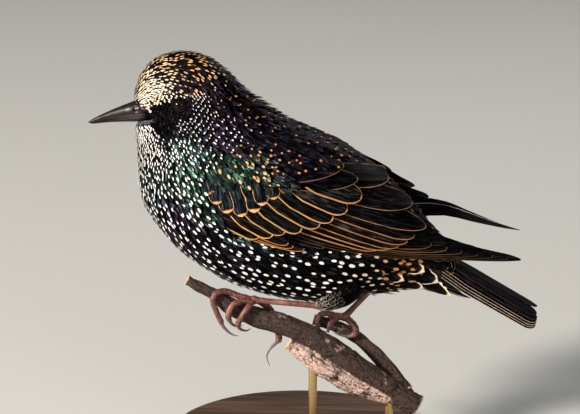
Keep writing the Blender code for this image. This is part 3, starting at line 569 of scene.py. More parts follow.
# %% Feather material
WORN_EDGE, WORN_TIP, WORN_SPOT = 0.3, 0.7, 0.5
STREAK_ACROSS, STREAK_ALONG, STREAK_APART = 1.3, 0.16, 37.0
SHAFT_COLOUR = (0.02, 0.014, 0.012, 1.0)
MATT = 0.75


def feather_material(name, barb_pitch, barb_depth, roughness, shaft_half):
    sheen = {"Specular IOR Level": 0.35, "IOR": 1.12}
    material = plain_material(name, SHAFT_COLOUR[:3], roughness, sheen)
    tree = material.node_tree
    across = attribute(tree, "across").outputs["Fac"]
    low_edge, high_edge, from_tip = split(tree, "edges")
    spot_length, spot_half, wear = split(tree, "spot")
    low, high, tip = split(tree, "fringe")
    gloss, mark = attribute(tree, "gloss"), attribute(tree, "mark")
    ragged = scaled(tree, noise_value(tree, own_place(tree), 1400.0, 3.0), 0.9, -0.45)
    marks = group_values(tree, MARKS, {
        "Across": across,
        "Low Edge": calc(tree, "ADD", low_edge, times(tree, ragged, WORN_EDGE)),
        "High Edge": calc(tree, "ADD", high_edge, times(tree, ragged, WORN_EDGE)),
        "From Tip": calc(tree, "ADD", from_tip, times(tree, ragged, WORN_TIP)),
        "Spot Length": spot_length,
        "Spot Half": times(tree, spot_half, scaled(tree, ragged, WORN_SPOT, 1.0)),
        "Low Fringe": low,
        "High Fringe": high,
        "Tip Fringe": tip,
    })
    barbs = group_values(
        tree, BARBS, {"Across": across, "From Tip": from_tip, "Pitch": barb_pitch, "Shaft": shaft_half})
    strand = tree.nodes.new("ShaderNodeCombineXYZ")
    set_sockets(tree, strand, {
        "X": times(tree, across, STREAK_ACROSS),
        "Y": times(tree, from_tip, STREAK_ALONG),
        "Z": times(tree, wear, STREAK_APART),
    })
    streaks = noise_value(tree, strand.outputs[0], 1.0, 3.0, 0.6)
    shine = scaled(tree, fade(tree, streaks, 0.5, 0.7), 0.95, 0.05)
    dark = tree.nodes.new("ShaderNodeVectorMath")
    dark.operation = "SCALE"
    set_sockets(tree, dark, {0: gloss.outputs["Color"], "Scale": times(tree, shine, wear)})
    shaft = times(tree, barbs["Shaft Mask"], 0.5)
    with_shaft = mix_colour(tree, shaft, dark.outputs[0], SHAFT_COLOUR)
    pale = calc(tree, "MAXIMUM", marks["Spot"], marks["Fringe"])
    plain = calc(tree, "SUBTRACT", 1.0, pale)
    return finish(material, {
        "Base Color": mix_colour(tree, pale, with_shaft, mark.outputs["Color"]),
        "Metallic": times(tree, gloss.outputs["Alpha"], plain),
        "Roughness": scaled(tree, pale, MATT - roughness, roughness),
        "Normal": relief_normal(tree, barbs["Height"], barb_depth, 0.0001),
    })


COAT = feather_material("coat", 0.3, 0.5, 0.4, 0.03)
WING = feather_material("wing_vane", 0.42, 0.6, 0.42, 0.16)
print("feather materials:", COAT.name, WING.name)

# %% [markdown]
# Where a feather grows decides what it looks like. This table names places on the body and gives, for each
# one, the size of its feathers and their marks. A feather between two places takes values between theirs,
# weighted by how near they are, so size and colour change gradually from the bill to the tail, as they do on
# a bird. The pale marks are largest on the throat and breast and shrink to dots on the crown and cheeks.

# %% What grows where
MARK_COLOURS = {
    "white": (0.78, 0.75, 0.71),
    "silver": (0.68, 0.66, 0.63),
    "pale": (0.84, 0.74, 0.6),
    "cream": (0.78, 0.62, 0.42),
    "sand": (0.7, 0.46, 0.25),
    "buff": (0.6, 0.31, 0.12),
    "rufous": (0.42, 0.18, 0.06),
    "grey": (0.42, 0.38, 0.32),
}
GLOSS_COLOURS = {
    "black": (0.02, 0.018, 0.022),
    "violet": (0.034, 0.024, 0.046),
    "purple": (0.105, 0.066, 0.14),
    "green": (0.095, 0.205, 0.145),
    "teal": (0.095, 0.19, 0.18),
    "brown": (0.045, 0.026, 0.018),
}
# t, height round the body from belly 0 to back 1; length, half width and roundness of the feather; length,
# half width and share of the spots; width of a pale fringe; metallic gloss; how far the tip stands off.
REGIONS = {
    "forehead": (1.6, 0.82, 4.2, 0.52, 0.15, 2.4, 0.24, 0.84, 0, 0.3, 0, "cream", "black"),
    "brow": (2.7, 0.63, 3.2, 0.5, 0.2, 1.9, 0.26, 0.92, 0, 0.3, 0, "pale", "black"),
    "upper_forehead": (2.6, 0.92, 4.8, 0.6, 0.15, 2.2, 0.23, 0.72, 0, 0.3, 0, "sand", "black"),
    "crown": (4, 0.88, 5.2, 0.8, 0.2, 1.9, 0.27, 0.58, 0, 0.4, 0.1, "buff", "black"),
    "crown_side": (4.5, 0.73, 4.8, 0.8, 0.2, 1.7, 0.27, 0.5, 0, 0.4, 0, "buff", "violet"),
    "nape": (6.3, 0.8, 6.2, 1.05, 0.05, 0.8, 0.28, 0.4, 0, 0.5, 0.9, "rufous", "violet"),
    "hindneck": (6.9, 0.86, 7.6, 1.3, 0.05, 0.9, 0.32, 0.5, 0, 0.5, 0.8, "rufous", "violet"),
    "eye": (4.93, 0.59, 2.2, 0.5, 0.3, 0.8, 0.28, 0.6, 0, 0.3, 0, "white", "black"),
    "lores": (3.4, 0.56, 2.2, 0.5, 0.3, 1.5, 0.32, 0.85, 0, 0.3, 0, "cream", "black"),
    "behind_eye": (5.5, 0.65, 2.9, 0.62, 0.3, 0.6, 0.18, 0.7, 0, 0.5, 0, "silver", "violet"),
    "cheek": (5.4, 0.56, 2.9, 0.6, 0.3, 0.7, 0.18, 0.85, 0, 0.5, 0, "silver", "violet"),
    "ear": (6.1, 0.65, 3.6, 0.7, 0.3, 0.75, 0.19, 0.8, 0, 0.6, 0, "silver", "violet"),
    "chin": (2, 0.36, 2.8, 0.55, 0.2, 1.8, 0.34, 0.9, 0, 0.3, 0, "white", "black"),
    "malar": (4.3, 0.47, 2.8, 0.6, 0.3, 0.9, 0.32, 0.45, 0, 0.4, 0, "white", "black"),
    "throat": (4, 0.33, 4.2, 0.72, 0.2, 1.4, 0.27, 0.82, 0, 0.4, 0, "white", "black"),
    "throat_side": (5.8, 0.5, 5.2, 0.88, 0.1, 1.5, 0.31, 0.8, 0, 0.7, 0, "white", "teal"),
    "neck_side": (6.9, 0.68, 5.2, 0.9, 0.1, 0.9, 0.27, 0.75, 0, 0.7, 0.1, "white", "purple"),
    "upper_breast": (5.4, 0.26, 6.6, 1.1, 0.05, 1.7, 0.32, 0.75, 0, 0.7, 0, "white", "teal"),
    "breast_side": (7, 0.44, 7.8, 1.35, 0.05, 1.9, 0.4, 0.74, 0, 0.75, 0, "white", "green"),
    "mid_breast": (7.2, 0.25, 8.4, 1.45, 0.05, 2, 0.39, 0.78, 0, 0.75, 0, "white", "purple"),
    "lower_breast": (7.85, 0.27, 10, 2.05, 0.15, 2, 0.48, 0.84, 0, 0.6, 0, "white", "violet"),
    "breast_flank": (7.8, 0.46, 10, 2.15, 0.15, 2.1, 0.5, 0.76, 0, 0.6, 0, "white", "teal"),
    "belly": (8.65, 0.25, 12.2, 2.8, 0.4, 2.2, 0.64, 0.92, 0, 0.4, 0, "white", "black"),
    "lower_belly": (9.3, 0.21, 12.6, 2.95, 0.6, 2.2, 0.68, 0.9, 0, 0.35, 0, "white", "black"),
    "flank": (9.45, 0.38, 12.4, 2.85, 0.4, 2.2, 0.66, 0.82, 0, 0.4, 0.1, "white", "black"),
    "rear_flank": (10.05, 0.37, 12.5, 2.8, 0.5, 2.1, 0.68, 0.66, 0, 0.3, 0.3, "cream", "black"),
    "vent": (10.6, 0.47, 12, 2.4, 0.4, 2.3, 0.75, 0.55, 0, 0.2, 0.4, "rufous", "brown"),
    "rear_vent": (11.7, 0.41, 12.5, 2.6, 0.4, 2.6, 0.8, 0.35, 0, 0.2, 0.2, "grey", "brown"),
    "undertail": (13, 0.2, 13, 3, 0.5, 0, 0, 0, 0, 0.2, 0, "cream", "black"),
    "mantle": (7.65, 0.89, 8.6, 1.8, 0.35, 1, 0.36, 0.5, 0, 0.55, 0, "rufous", "violet"),
    "mantle_side": (8.05, 0.79, 9.2, 2, 0.35, 1.1, 0.38, 0.5, 0, 0.55, 0, "rufous", "violet"),
    "back": (8.75, 0.9, 10.5, 2.4, 0.5, 1.1, 0.48, 0.5, 0, 0.5, 0, "rufous", "violet"),
    "shoulder": (7.6, 0.62, 8.2, 1.9, 0.2, 1.6, 0.46, 0.35, 0, 0.7, 0, "buff", "green"),
    "rump": (10.5, 0.92, 11, 2.6, 0.6, 1.1, 0.5, 0.35, 0, 0.45, 0, "rufous", "violet"),
    "uppertail": (13, 0.9, 12, 2.8, 0.7, 0, 0, 0, 0.2, 0.3, 0, "rufous", "black"),
}
LOOK_NAMES = ("length", "half", "round", "spot_length", "spot_half", "spots", "fringe", "metallic", "rise")


def fold(points):
    """The same places on the right side, as both sides look alike."""
    folded = points.copy()
    folded[..., 1] = np.abs(folded[..., 1])
    return folded


region_rows = list(REGIONS.values())
region_places = fold(body_point(
    np.array([row[0] for row in region_rows]), np.array([math.pi * (1 - row[1]) for row in region_rows])))
region_numbers = np.array([row[2:11] for row in region_rows])
region_marks = np.array([MARK_COLOURS[row[11]] for row in region_rows])
region_gloss = np.array([GLOSS_COLOURS[row[12]] for row in region_rows])


def look_at(points):
    """The feathers' sizes and colours at places on the body."""
    away = ((fold(points)[..., None, :] - region_places) ** 2).sum(-1) + 0.5
    weight = away**-2.2
    weight /= weight.sum(-1, keepdims=True)
    numbers = weight @ region_numbers
    look = {name: numbers[..., k] for k, name in enumerate(LOOK_NAMES)}
    look["mark"], look["gloss"] = weight @ region_marks, weight @ region_gloss
    return look


print("regions:", len(REGIONS))

# %% [markdown]
# Feathers stand in staggered rows, each tip over the roots of the row behind. A row runs round the body at
# one t, and the steps between rows and between feathers follow the feathers' own size there, so that small
# ones on the face stand close and large ones on the belly stand apart, and both cover the skin.

# %% Rows of feathers
ROW_STEP, SIDE_STEP, UNEVEN = 0.33, 1.4, 0.09
RING_STEPS = 144
# How deep the roots lie below the outline, along t.
COAT_DEPTH = [(0, 0.7), (2, 1.0), (5, 1.6), (8, 2.4), (13, 2.2), (15, 1.4)]


def coat_depth(t):
    return np.interp(t, *np.array(COAT_DEPTH).T)


def feather_grid(surface, look, first, last):
    """The roots of staggered rows of feathers on a surface, as t and turn."""
    all_t, all_turn = [], []
    t, row = first, 0
    ring = np.linspace(0, math.tau, RING_STEPS + 1)
    middle = (ring[1:] + ring[:-1]) / 2
    while t < last:
        here = surface(np.full(RING_STEPS, t), middle)
        sizes = look(here)
        ahead = surface(np.full(RING_STEPS, t + 0.05), middle)
        step = (ROW_STEP * sizes["length"] * 0.05 / np.maximum(length(ahead - here), 1e-3)).mean()
        spans = length(np.diff(surface(np.full(RING_STEPS + 1, t), ring), axis=0))
        along = summed(spans / (SIDE_STEP * sizes["half"]))
        count = max(int(round(along[-1])), 3)
        places = (np.arange(count) + 0.25 + 0.5 * (row % 2)) / count * along[-1]
        turn = np.interp(places, along, ring)
        all_turn.append(turn + chance.normal(0, UNEVEN, count) * math.tau / count)
        all_t.append(t + chance.normal(0, UNEVEN, count) * step)
        t, row = t + step, row + 1
    return np.concatenate(all_t), np.concatenate(all_turn)


def flow(surface, t, turn):
    """Unit directions along, round and out of a surface, and its millimetres for a step of t and of turn."""
    along = (surface(t + 0.03, turn) - surface(t - 0.03, turn)) / 0.06
    around = (surface(t, turn + 0.03) - surface(t, turn - 0.03)) / 0.06
    outward = unit(np.cross(along, around))
    return unit(along), unit(around), outward, length(along), length(around)


def walk(surface, t, turn, ahead, beside):
    """Goes on from roots by rows of millimetres ahead and beside, measured on the surface."""
    all_t, all_turn = [t], [turn]
    for k in range(1, ahead.shape[1]):
        _, _, _, step_t, step_turn = flow(surface, all_t[-1], all_turn[-1])
        all_t.append(all_t[-1] + (ahead[:, k] - ahead[:, k - 1]) / np.maximum(step_t, 0.5))
        all_turn.append(all_turn[-1] + (beside[:, k] - beside[:, k - 1]) / np.maximum(step_turn, 1.0))
    return np.stack(all_t, -1), np.stack(all_turn, -1)


# How wide a feather is along its length: long and pointed on the neck, broad and round on the belly.
HACKLE = np.array([(0, 0.35), (0.3, 0.85), (0.55, 1.0), (0.78, 0.8), (0.93, 0.42), (1, 0.08)])
ROUND = np.array([(0, 0.4), (0.3, 0.9), (0.55, 1.0), (0.78, 0.95), (0.93, 0.66), (1, 0.12)])


def laid_vanes(surface, t, turn, size, depth, across_places, rows, thick, yaw=0.12):
    """Vanes that follow a curved surface, rooted below it and ending at it. Returns points and measures."""
    places, under = ring_of(across_places)
    share = 1 - (1 - np.linspace(0, 1, rows)) ** 1.25
    shape = (len(t), rows)
    angle = chance.normal(0, yaw, len(t))
    reach = share * size["length"][:, None]
    row_t, row_turn = walk(surface, t, turn, reach * np.cos(angle)[:, None], reach * np.sin(angle)[:, None])
    middle = surface(row_t, row_turn)
    _, around, outward, _, _ = flow(surface, row_t, row_turn)
    pointed = np.interp(share, *HACKLE.T)
    full = pointed + (np.interp(share, *ROUND.T) - pointed) * size["round"][:, None]
    width = full * size["half"][:, None]
    stands = size["rise"] + chance.normal(0, 0.1, len(t)) * (1 + 4 * size["rise"])
    height = -depth[:, None] * (1 - share) ** 1.3 + stands[:, None] * share
    edge = 1 + chance.normal(0, 0.07, (*shape, len(places))) * (np.abs(places) > 0.9)
    across = width[..., None] * places * edge
    crown = -0.22 * np.abs(across) ** 1.5 / np.maximum(size["half"], 0.5)[:, None, None] ** 0.5
    lift = height[..., None] + crown - under * thick * full[..., None]
    points = middle[:, :, None] + around[:, :, None] * across[..., None]
    points = points + outward[:, :, None] * lift[..., None]
    span = length(middle[:, -1] - middle[:, 0])
    from_tip = ((1 - share) * span[:, None])[..., None]
    return points, (across, width[..., None] + across, width[..., None] - across, from_tip)


def patches(u, v, shape, across_places, size=0.003):
    """The unwrap of vanes: a small patch for each one, at its root's place on the unwrap of the skin."""
    places, _ = ring_of(across_places)
    rows = np.linspace(0, 1, shape[1])
    across = np.broadcast_to(u[:, None, None] + places * size / 2, shape)
    along = np.broadcast_to(v[:, None, None] + rows[:, None] * size, shape)
    return np.stack([across, along], -1)


def colour_looks(size, count):
    """What a feather material reads, with each feather a little different from its neighbours."""
    spotted = chance.random(count) < size["spots"]
    vary = chance.normal(1, 0.16, (count, 1)).clip(0.6, 1.5)
    tint = chance.normal(0, 0.06, (count, 1)) * (1, 0, -1)
    spot = np.stack([size["spot_length"], size["spot_half"]], -1) * vary * spotted[:, None]
    wear = np.exp(chance.normal(-0.2, 0.6, (count, 1))).clip(0.15, 2.4)
    fringe = np.stack([size["fringe"]] * 2 + [size["fringe"] * 1.6], -1) * vary
    metallic = (size["metallic"] * chance.normal(1, 0.12, count)).clip(0, 0.9)
    mark = (size["mark"] * (1 + tint) * chance.normal(1, 0.1, (count, 1))).clip(0, 0.9)
    return {
        "spot": np.concatenate([spot, wear], -1),
        "fringe": fringe,
        "gloss": np.concatenate([size["gloss"], metallic[:, None]], -1),
        "mark": np.concatenate([mark, np.ones((count, 1))], -1),
    }


t_grid, turn_grid = feather_grid(body_point, look_at, -0.25, 14.3)
print("roots on the body:", len(t_grid))

# %% [markdown]
# Some places keep free of feathers: the bill, the eye and what the folded wing hides. A feather that would
# cross the eye is cut short in front of it, as the real ones are tiny there. The black patch from the bill
# to the eye has no pale tips at all.

# %% Bare places and the black face
EYE_AT = (-49.4, 152.9)
EYE_RADIUS, EYE_PROUD = 3.2, 0.9
EYE_OPENING = 2.25
# From here the long feathers under the tail take the place of the coat, and the ones above it are plain.
PLAIN_FROM = 11.3
BILL_OUTLINE = [
    (-92, 138), (-92, 150), (-70.6, 151.8), (-66.6, 151.4), (-64.2, 149.8), (-61.8, 148),
    (-61.4, 146.4), (-63.4, 144.9), (-66.8, 144.1), (-70.6, 143.2),
]
FACE_OUTLINE = [
    (-63.4, 152.4), (-58, 153.9), (-51.2, 157), (-47, 157.9), (-45, 154.1), (-46.8, 150.9),
    (-50.4, 149.4), (-52.9, 147), (-53, 142.4), (-59.4, 142.6), (-63.2, 144.8),
]


def lies_over(t, turn, reach):
    """True for the feathers that end on top of the wing, because they grow in front of it or above it."""
    way = reach[:, None] * np.linspace(0, 1, 4)
    tip_t, _ = walk(body_point, t, turn, way, way * 0)
    x, _, z = body_point(tip_t[:, -1], turn).T
    edge = np.interp(z, (95, 103, 110, 117, 122, 138), (-24.0, -27.0, -32.0, -36.5, -38.5, -31.0))
    return (x < edge) | ((z > 122 - 0.22 * x) & (x < 4))


def kept_roots(t, turn):
    """Drops the roots in bare places, and gives those left with their feathers' sizes."""
    roots = body_point(t, turn)
    size = look_at(roots)
    x, y, z = roots.T
    bare = inside_outline(x, z, BILL_OUTLINE) > 0
    hidden = inside_outline(x, z, WING_OUTLINE) > np.where(lies_over(t, turn, size["length"]), 13.0, 7.0)
    way = unit((body_point(t + 0.05, turn) - roots)[:, [0, 2]])
    to_eye = np.array(EYE_AT) - roots[:, [0, 2]]
    past = (to_eye * way).sum(-1)
    beside = np.abs(to_eye[:, 0] * way[:, 1] - to_eye[:, 1] * way[:, 0])
    reach = past - np.sqrt(np.maximum(EYE_OPENING**2 - beside**2, 0))
    crosses = (beside < EYE_OPENING) & (past > 0) & (reach < size["length"])
    size["length"] = np.where(crosses, reach, size["length"])
    in_eye = (length(to_eye) < EYE_OPENING + 0.1) | (crosses & (reach < 0.8))
    black = ease((inside_outline(x, z, FACE_OUTLINE) + 0.7) / 1.2) * (np.abs(y) > 2.5)
    size["spots"] = size["spots"] * (1 - black)
    size["spot_half"] = size["spot_half"] * (1 - 0.4 * black)
    undertail = (t > PLAIN_FROM) & (np.abs(turn % math.tau - math.pi) < 0.57 * math.pi)
    keep = ~(bare | hidden | in_eye | undertail)
    return t[keep], turn[keep], {name: values[keep] for name, values in size.items()}


t_grid, turn_grid, grid_size = kept_roots(t_grid, turn_grid)
print("feathers left:", len(t_grid))

# %% [markdown]
# The skin stands for the head, the neck, the torso and the thighs in one closed surface, so no seam shows
# between them. It lies under the outline by the depth of the coat, draws in under the wings, and wears the
# feathers' own colours, so that a gap between two feathers never shows anything strange.


# %% Skin
def limb_point(rows):
    """A surface function for a limb of rows of x, y, z and radius: t counts rows, turn goes round it."""
    rows = np.array(rows, float)

    def place(t, turn):
        row = on_rows(rows, t)
        near = np.clip(t, 0.05, len(rows) - 1.05)
        way = unit((on_rows(rows, near + 0.05) - on_rows(rows, near - 0.05))[..., :3])
        across = unit(np.cross(way, np.broadcast_to((0.0, 1.0, 0.0), way.shape)))
        other = np.cross(way, across)
        ring = across * np.cos(turn)[..., None] + other * np.sin(turn)[..., None]
        return row[..., :3] + ring * row[..., 3:4]

    return place


def ring_grid(t, sides):
    """Every place of t with every turn round a ring of that many sides."""
    return np.meshgrid(t, np.linspace(0, math.tau, sides, endpoint=False), indexing="ij")


def turned(faces):
    """The same faces, looking the other way."""
    return [face[::-1] for face in faces]


def grid_mesh(points):
    """A closed mesh through rings of points, capped at both ends."""
    rows, ring, _ = points.shape
    number = np.arange(rows * ring).reshape(rows, ring)
    here, ahead = number[:-1], number[1:]
    quads = np.stack([here, np.roll(here, -1, 1), np.roll(ahead, -1, 1), ahead], -1).reshape(-1, 4).tolist()
    return points.reshape(-1, 3), quads + [number[0, ::-1].tolist(), number[-1].tolist()]


def joined(parts):
    """Several closed meshes as one list of points and one of faces."""
    points, faces, start = [], [], 0
    for part_points, part_faces in parts:
        points.append(part_points)
        faces += [[start + corner for corner in face] for face in part_faces]
        start += len(part_points)
    return np.concatenate(points), faces


def remeshed(piece, voxel, smooth_steps):
    """Welds a piece's crossing parts into one surface of even facets."""
    remesh = piece.modifiers.new("weld", "REMESH")
    remesh.mode = "VOXEL"
    remesh.voxel_size = voxel * MM
    smooth = piece.modifiers.new("smooth", "SMOOTH")
    smooth.iterations = smooth_steps
    graph = bpy.context.evaluated_depsgraph_get()
    mesh = bpy.data.meshes.new_from_object(piece.evaluated_get(graph))
    piece.modifiers.clear()
    piece.data = mesh
    mesh.shade_smooth()
    return mesh


def mesh_points(mesh):
    points = np.empty(len(mesh.vertices) * 3)
    mesh.vertices.foreach_get("co", points)
    return points.reshape(-1, 3) / MM


THIGHS = {
    LEFT: [(24, -11, 82, 7.5), (18, -12, 75, 6), (12.5, -12.2, 70.6, 3.6), (8.5, -12, 68.2, 2)],
    RIGHT: [(40, 11, 84, 7), (36.5, 11.6, 78, 6), (32, 12, 72, 4), (28, 11.8, 67.6, 2.1)],
}
THIGH_COAT = 1.0


def skin_point(t, turn):
    _, _, outward, _, _ = flow(body_point, t, turn)
    outer = body_point(t, turn)
    bare = ease((inside_outline(outer[..., 0], outer[..., 2], BILL_OUTLINE) + 0.5) / 1.0)
    return under_wing(outer - outward * (coat_depth(t) + 0.25 + 1.2 * bare)[..., None])


def skin_material():
    material = plain_material("skin", (0.02, 0.017, 0.02), 0.7)
    tree = material.node_tree
    gloss, mark = attribute(tree, "gloss"), attribute(tree, "mark")
    cells = tree.nodes.new("ShaderNodeTexVoronoi")
    set_sockets(tree, cells, {"Vector": own_place(tree), "Scale": 420.0})
    near = fade_out(tree, cells.outputs["Distance"], 0.2, 0.35)
    spots = times(tree, near, mark.outputs["Alpha"])
    colour = mix_colour(tree, spots, gloss.outputs["Color"], mark.outputs["Color"])
    return finish(material, {"Base Color": colour})


def make_skin():
    parts = [grid_mesh(skin_point(*ring_grid(np.arange(0.0, LAST_RIB - 0.4, 0.06), 120)))]
    for rows in THIGHS.values():
        place = limb_point([(*row[:3], row[3] - THIGH_COAT) for row in rows])
        parts.append(grid_mesh(place(*ring_grid(np.arange(0, 2.95, 0.1), 32))))
    points, faces = joined(parts)
    replaced = ["head", "neck", "torso", "thigh_left", "thigh_right"]
    skin = new_piece("skin", points, faces, skin_material(), replaced)
    remeshed(skin, 0.9, 4)
    size = look_at(mesh_points(skin.data))
    ones = np.ones((len(skin.data.vertices), 1))
    add_attribute(skin.data, "gloss", np.concatenate([size["gloss"], ones], -1), "FLOAT_COLOR")
    spots = size["spots"][:, None] * 0.5
    add_attribute(skin.data, "mark", np.concatenate([size["mark"], spots], -1), "FLOAT_COLOR")
    return skin


skin = make_skin()
print("skin facets:", len(skin.data.polygons))

# %% [markdown]
# The coat goes on in a few groups, each a piece of its own: the face and head, the neck and breast, the belly
# and flanks, and the back. The face gets the smallest feathers, with three points across a vane, and the
# larger ones get five. Feathers in front of the wing and above it are lifted over its edge, and the flank's
# lie under it.

# %% Coat of the body
# Where the points of a fine and of a broad vane lie across it.
FINE, BROAD = (-1.0, 0.0, 1.0), (-1.0, -0.45, 0.0, 0.45, 1.0)
COAT_THICK = 0.25


def body_patches(t, turn, points, across_places, size=0.003):
    """The unwrap of feathers on the body, which has turn from side to side and t upwards."""
    u, v = 0.02 + 0.96 * (turn / math.tau % 1), 0.02 + 0.8 * t / LAST_RIB
    return patches(u, v, points.shape[:3], across_places, size)


def pile(*parts):
    """Joins the points and measures of several groups of vanes."""
    points = np.concatenate([part[0] for part in parts])
    measures = []
    for k in range(4):
        whole = [np.broadcast_to(part[1][k], part[0].shape[:3]) for part in parts]
        measures.append(np.concatenate(whole))
    return points, tuple(measures)


def coat_piece(name, chosen, across_places, rows, thick):
    """Feathers that end on the wing follow the outline lifted over it; the others go in under it."""
    t, turn = t_grid[chosen], turn_grid[chosen]
    size = {key: values[chosen] for key, values in grid_size.items()}
    over = lies_over(t, turn, size["length"])
    order = np.concatenate([np.flatnonzero(over), np.flatnonzero(~over)])
    t, turn = t[order], turn[order]
    size = {key: values[order] for key, values in size.items()}
    parts = []
    for bend, part in ((over_wing, slice(0, over.sum())), (under_wing, slice(over.sum(), None))):
        if len(t[part]):
            surface = lambda t, turn: bend(body_point(t, turn))
            here = {key: values[part] for key, values in size.items()}
            depth = coat_depth(t[part])
            parts.append(laid_vanes(surface, t[part], turn[part], here, depth, across_places, rows, thick))
    points, measures = pile(*parts)
    bake = body_patches(t, turn, points, across_places)
    vane_piece(name, points, measures, colour_looks(size, len(t)), bake, COAT, [], "plumage")


height_round = np.abs(turn_grid % math.tau - math.pi) / math.pi
grid_size["spots"] = grid_size["spots"] * (t_grid < PLAIN_FROM)
on_head = t_grid < 6.4
on_breast = ~on_head & (t_grid < 8.3) & (height_round < 0.7)
on_back = ~on_head & ~on_breast & (height_round > 0.62)
on_belly = ~on_head & ~on_breast & ~on_back
coat_piece("coat_head", on_head, FINE, 6, 0.14)
coat_piece("coat_breast", on_breast, BROAD, 7, 0.2)
coat_piece("coat_back", on_back, BROAD, 7, COAT_THICK)
coat_piece("coat_belly", on_belly, BROAD, 7, COAT_THICK)


def thigh_coat(side):
    place = limb_point(THIGHS[side])

    def look(points):
        size = look_at(points)
        return {**size, "length": size["length"] * 0 + 5.2, "half": size["half"] * 0 + 1.2}

    t, turn = feather_grid(place, look, 0.2, 2.7)
    size = look(place(t, turn))
    narrow = 1 - 0.55 * ease((t - 1.2) / 1.4)
    size["length"], size["half"] = size["length"] * narrow, size["half"] * narrow
    size["spots"] = size["spots"] * 0.3
    size["rise"] = size["rise"] * 0
    size["fringe"] = 0.2 * ease((t - 0.8) / 1.2)
    size["mark"] = size["mark"] * 0 + (0.26, 0.23, 0.18)
    points, measures = laid_vanes(place, t, turn, size, t * 0 + THIGH_COAT, BROAD, 6, 0.15)
    u = (0.05 if side == LEFT else 0.55) + 0.4 * (turn / math.tau % 1)
    bake = patches(u, 0.86 + 0.1 * t / 3, points.shape[:3], BROAD)
    name = f"coat_thigh_{SIDE_NAMES[side]}"
    vane_piece(name, points, measures, colour_looks(size, len(t)), bake, COAT, [], "plumage")


for side in SIDE_NAMES:
    thigh_coat(side)


# The tip's t and degrees from the back, then length, half width and how far the tip stands off.
UNDERTAIL = [
    (15, 156, 22, 2.9, 0.3), (14.9, 178, 15, 2.4, 0.2), (13.8, 178, 13, 3.2, 0.5),
    (13.4, 131, 17, 4.6, 1.1), (12.4, 102, 15, 4.7, 1.9), (12.5, 160, 12, 3.6, 0.9),
    (12, 128, 12, 3.9, 1.3), (11.6, 86, 11, 3.6, 1.6), (11.5, 165, 11, 3.4, 1.4),
    (11.3, 108, 10, 3.2, 1.7),
]


def undertail_coat():
    """The long feathers under the root of the tail, black with broad pale edges."""
    rows = np.array([(*row, side) for row in UNDERTAIL for side in SIDE_NAMES])
    tip_t, degrees, reach, half, rise, side = rows.T
    turn = side * np.radians(degrees)
    way = -reach[:, None] * np.linspace(0, 1, 12)
    t = walk(body_point, tip_t, turn, way, way * 0)[0][:, -1]
    ones = np.ones(len(t))
    size = {
        "length": reach, "half": half, "round": ones * -0.7, "rise": rise, "spot_length": ones * 0,
        "spot_half": ones * 0, "spots": ones * 0, "fringe": ones, "metallic": ones * 0.2,
        "mark": ones[:, None] * (0.72, 0.62, 0.46), "gloss": ones[:, None] * GLOSS_COLOURS["black"],
    }
    points, measures = laid_vanes(body_point, t, turn, size, ones * 1.2, BROAD, 14, COAT_THICK, 0.03)
    looks = colour_looks(size, len(t))
    looks["fringe"] = ones[:, None] * (0.75, 0.75, 2.1)
    looks["spot"][:, 2] = 1.0
    bake = body_patches(t, turn, points, BROAD, 0.006)
    vane_piece("coat_undertail", points, measures, looks, bake, COAT, [], "plumage")


undertail_coat()

# %% [markdown]
# The large feathers of wing and tail are drawn flat, as on a drawing board, and then set on the wing's shell
# or on the tail's fan. Each is a thin arched blade with a raised shaft, wider on one side of it, and a tip
# that rounds off. Making one function place them all means that a feather only needs a root, a tip and two
# widths.

# %% Blades drawn flat
FLIGHT_THICK, SHAFT_RISE = 0.28, 0.16


def flat_vanes(place, roots, tips, low, high, round_from, depths, shaft=0.0, rows=18, bow=0.0, arch=0.08,
               tilt=0.16, blunt=0.1):
    """Blades from root to tip on a board that place(u, v, depth) bends. Returns points and measures."""
    roots, tips, depths = np.array(roots, float), np.array(tips, float), np.array(depths, float)
    count = len(roots)
    low, high, round_from, shaft, bow = (
        np.broadcast_to(value, count).astype(float) for value in (low, high, round_from, shaft, bow))
    share = 1 - (1 - np.linspace(0, 1, rows)) ** 1.6
    way = tips - roots
    span = length(way)
    way = way / span[:, None]
    across = np.stack([-way[:, 1], way[:, 0]], -1)
    step = (1 - np.abs(shaft)) * 0.06
    columns = np.stack([
        shaft * 0 - 1, (shaft - 2) / 3, (2 * shaft - 1) / 3 - step, shaft - step, shaft, shaft + step,
        (2 * shaft + 1) / 3 + step, (shaft + 2) / 3, shaft * 0 + 1, shaft,
    ], -1)
    under, ridge = np.eye(10)[9], np.eye(10)[4]
    past = np.clip((share - round_from[:, None]) / (1 - round_from[:, None]), 0, 1)
    full = (np.minimum(1, 0.6 + 1.6 * share) * np.maximum(np.sqrt(1 - past**2), blunt))[..., None]
    middle = roots[:, None] + way[:, None] * (share * span[:, None])[..., None]
    middle = middle + across[:, None] * (np.sin(math.pi * share) * bow[:, None])[..., None]
    reach = np.where(columns < 0, columns * low[:, None], columns * high[:, None])
    uneven = 1 + chance.normal(0, 0.012, (count, rows, 10)) * (np.abs(columns) > 0.99)[:, None]
    v = reach[:, None] * full * uneven
    flat = middle[:, :, None] + across[:, None, None] * v[..., None]
    depth = (depths[:, :1] + (depths[:, 1:] - depths[:, :1]) * share)[..., None]
    depth = depth + arch * columns[:, None] ** 2 + tilt * columns[:, None] + FLIGHT_THICK * under
    depth = depth - SHAFT_RISE * ridge * (1 - 0.7 * share[:, None])
    points = place(flat[..., 0], flat[..., 1], depth)
    at_shaft = np.where(shaft < 0, shaft * low, shaft * high)[:, None, None] * full
    from_tip = ((1 - share) * span[:, None])[..., None]
    return points, (v - at_shaft, low[:, None, None] * full + v, high[:, None, None] * full - v, from_tip)


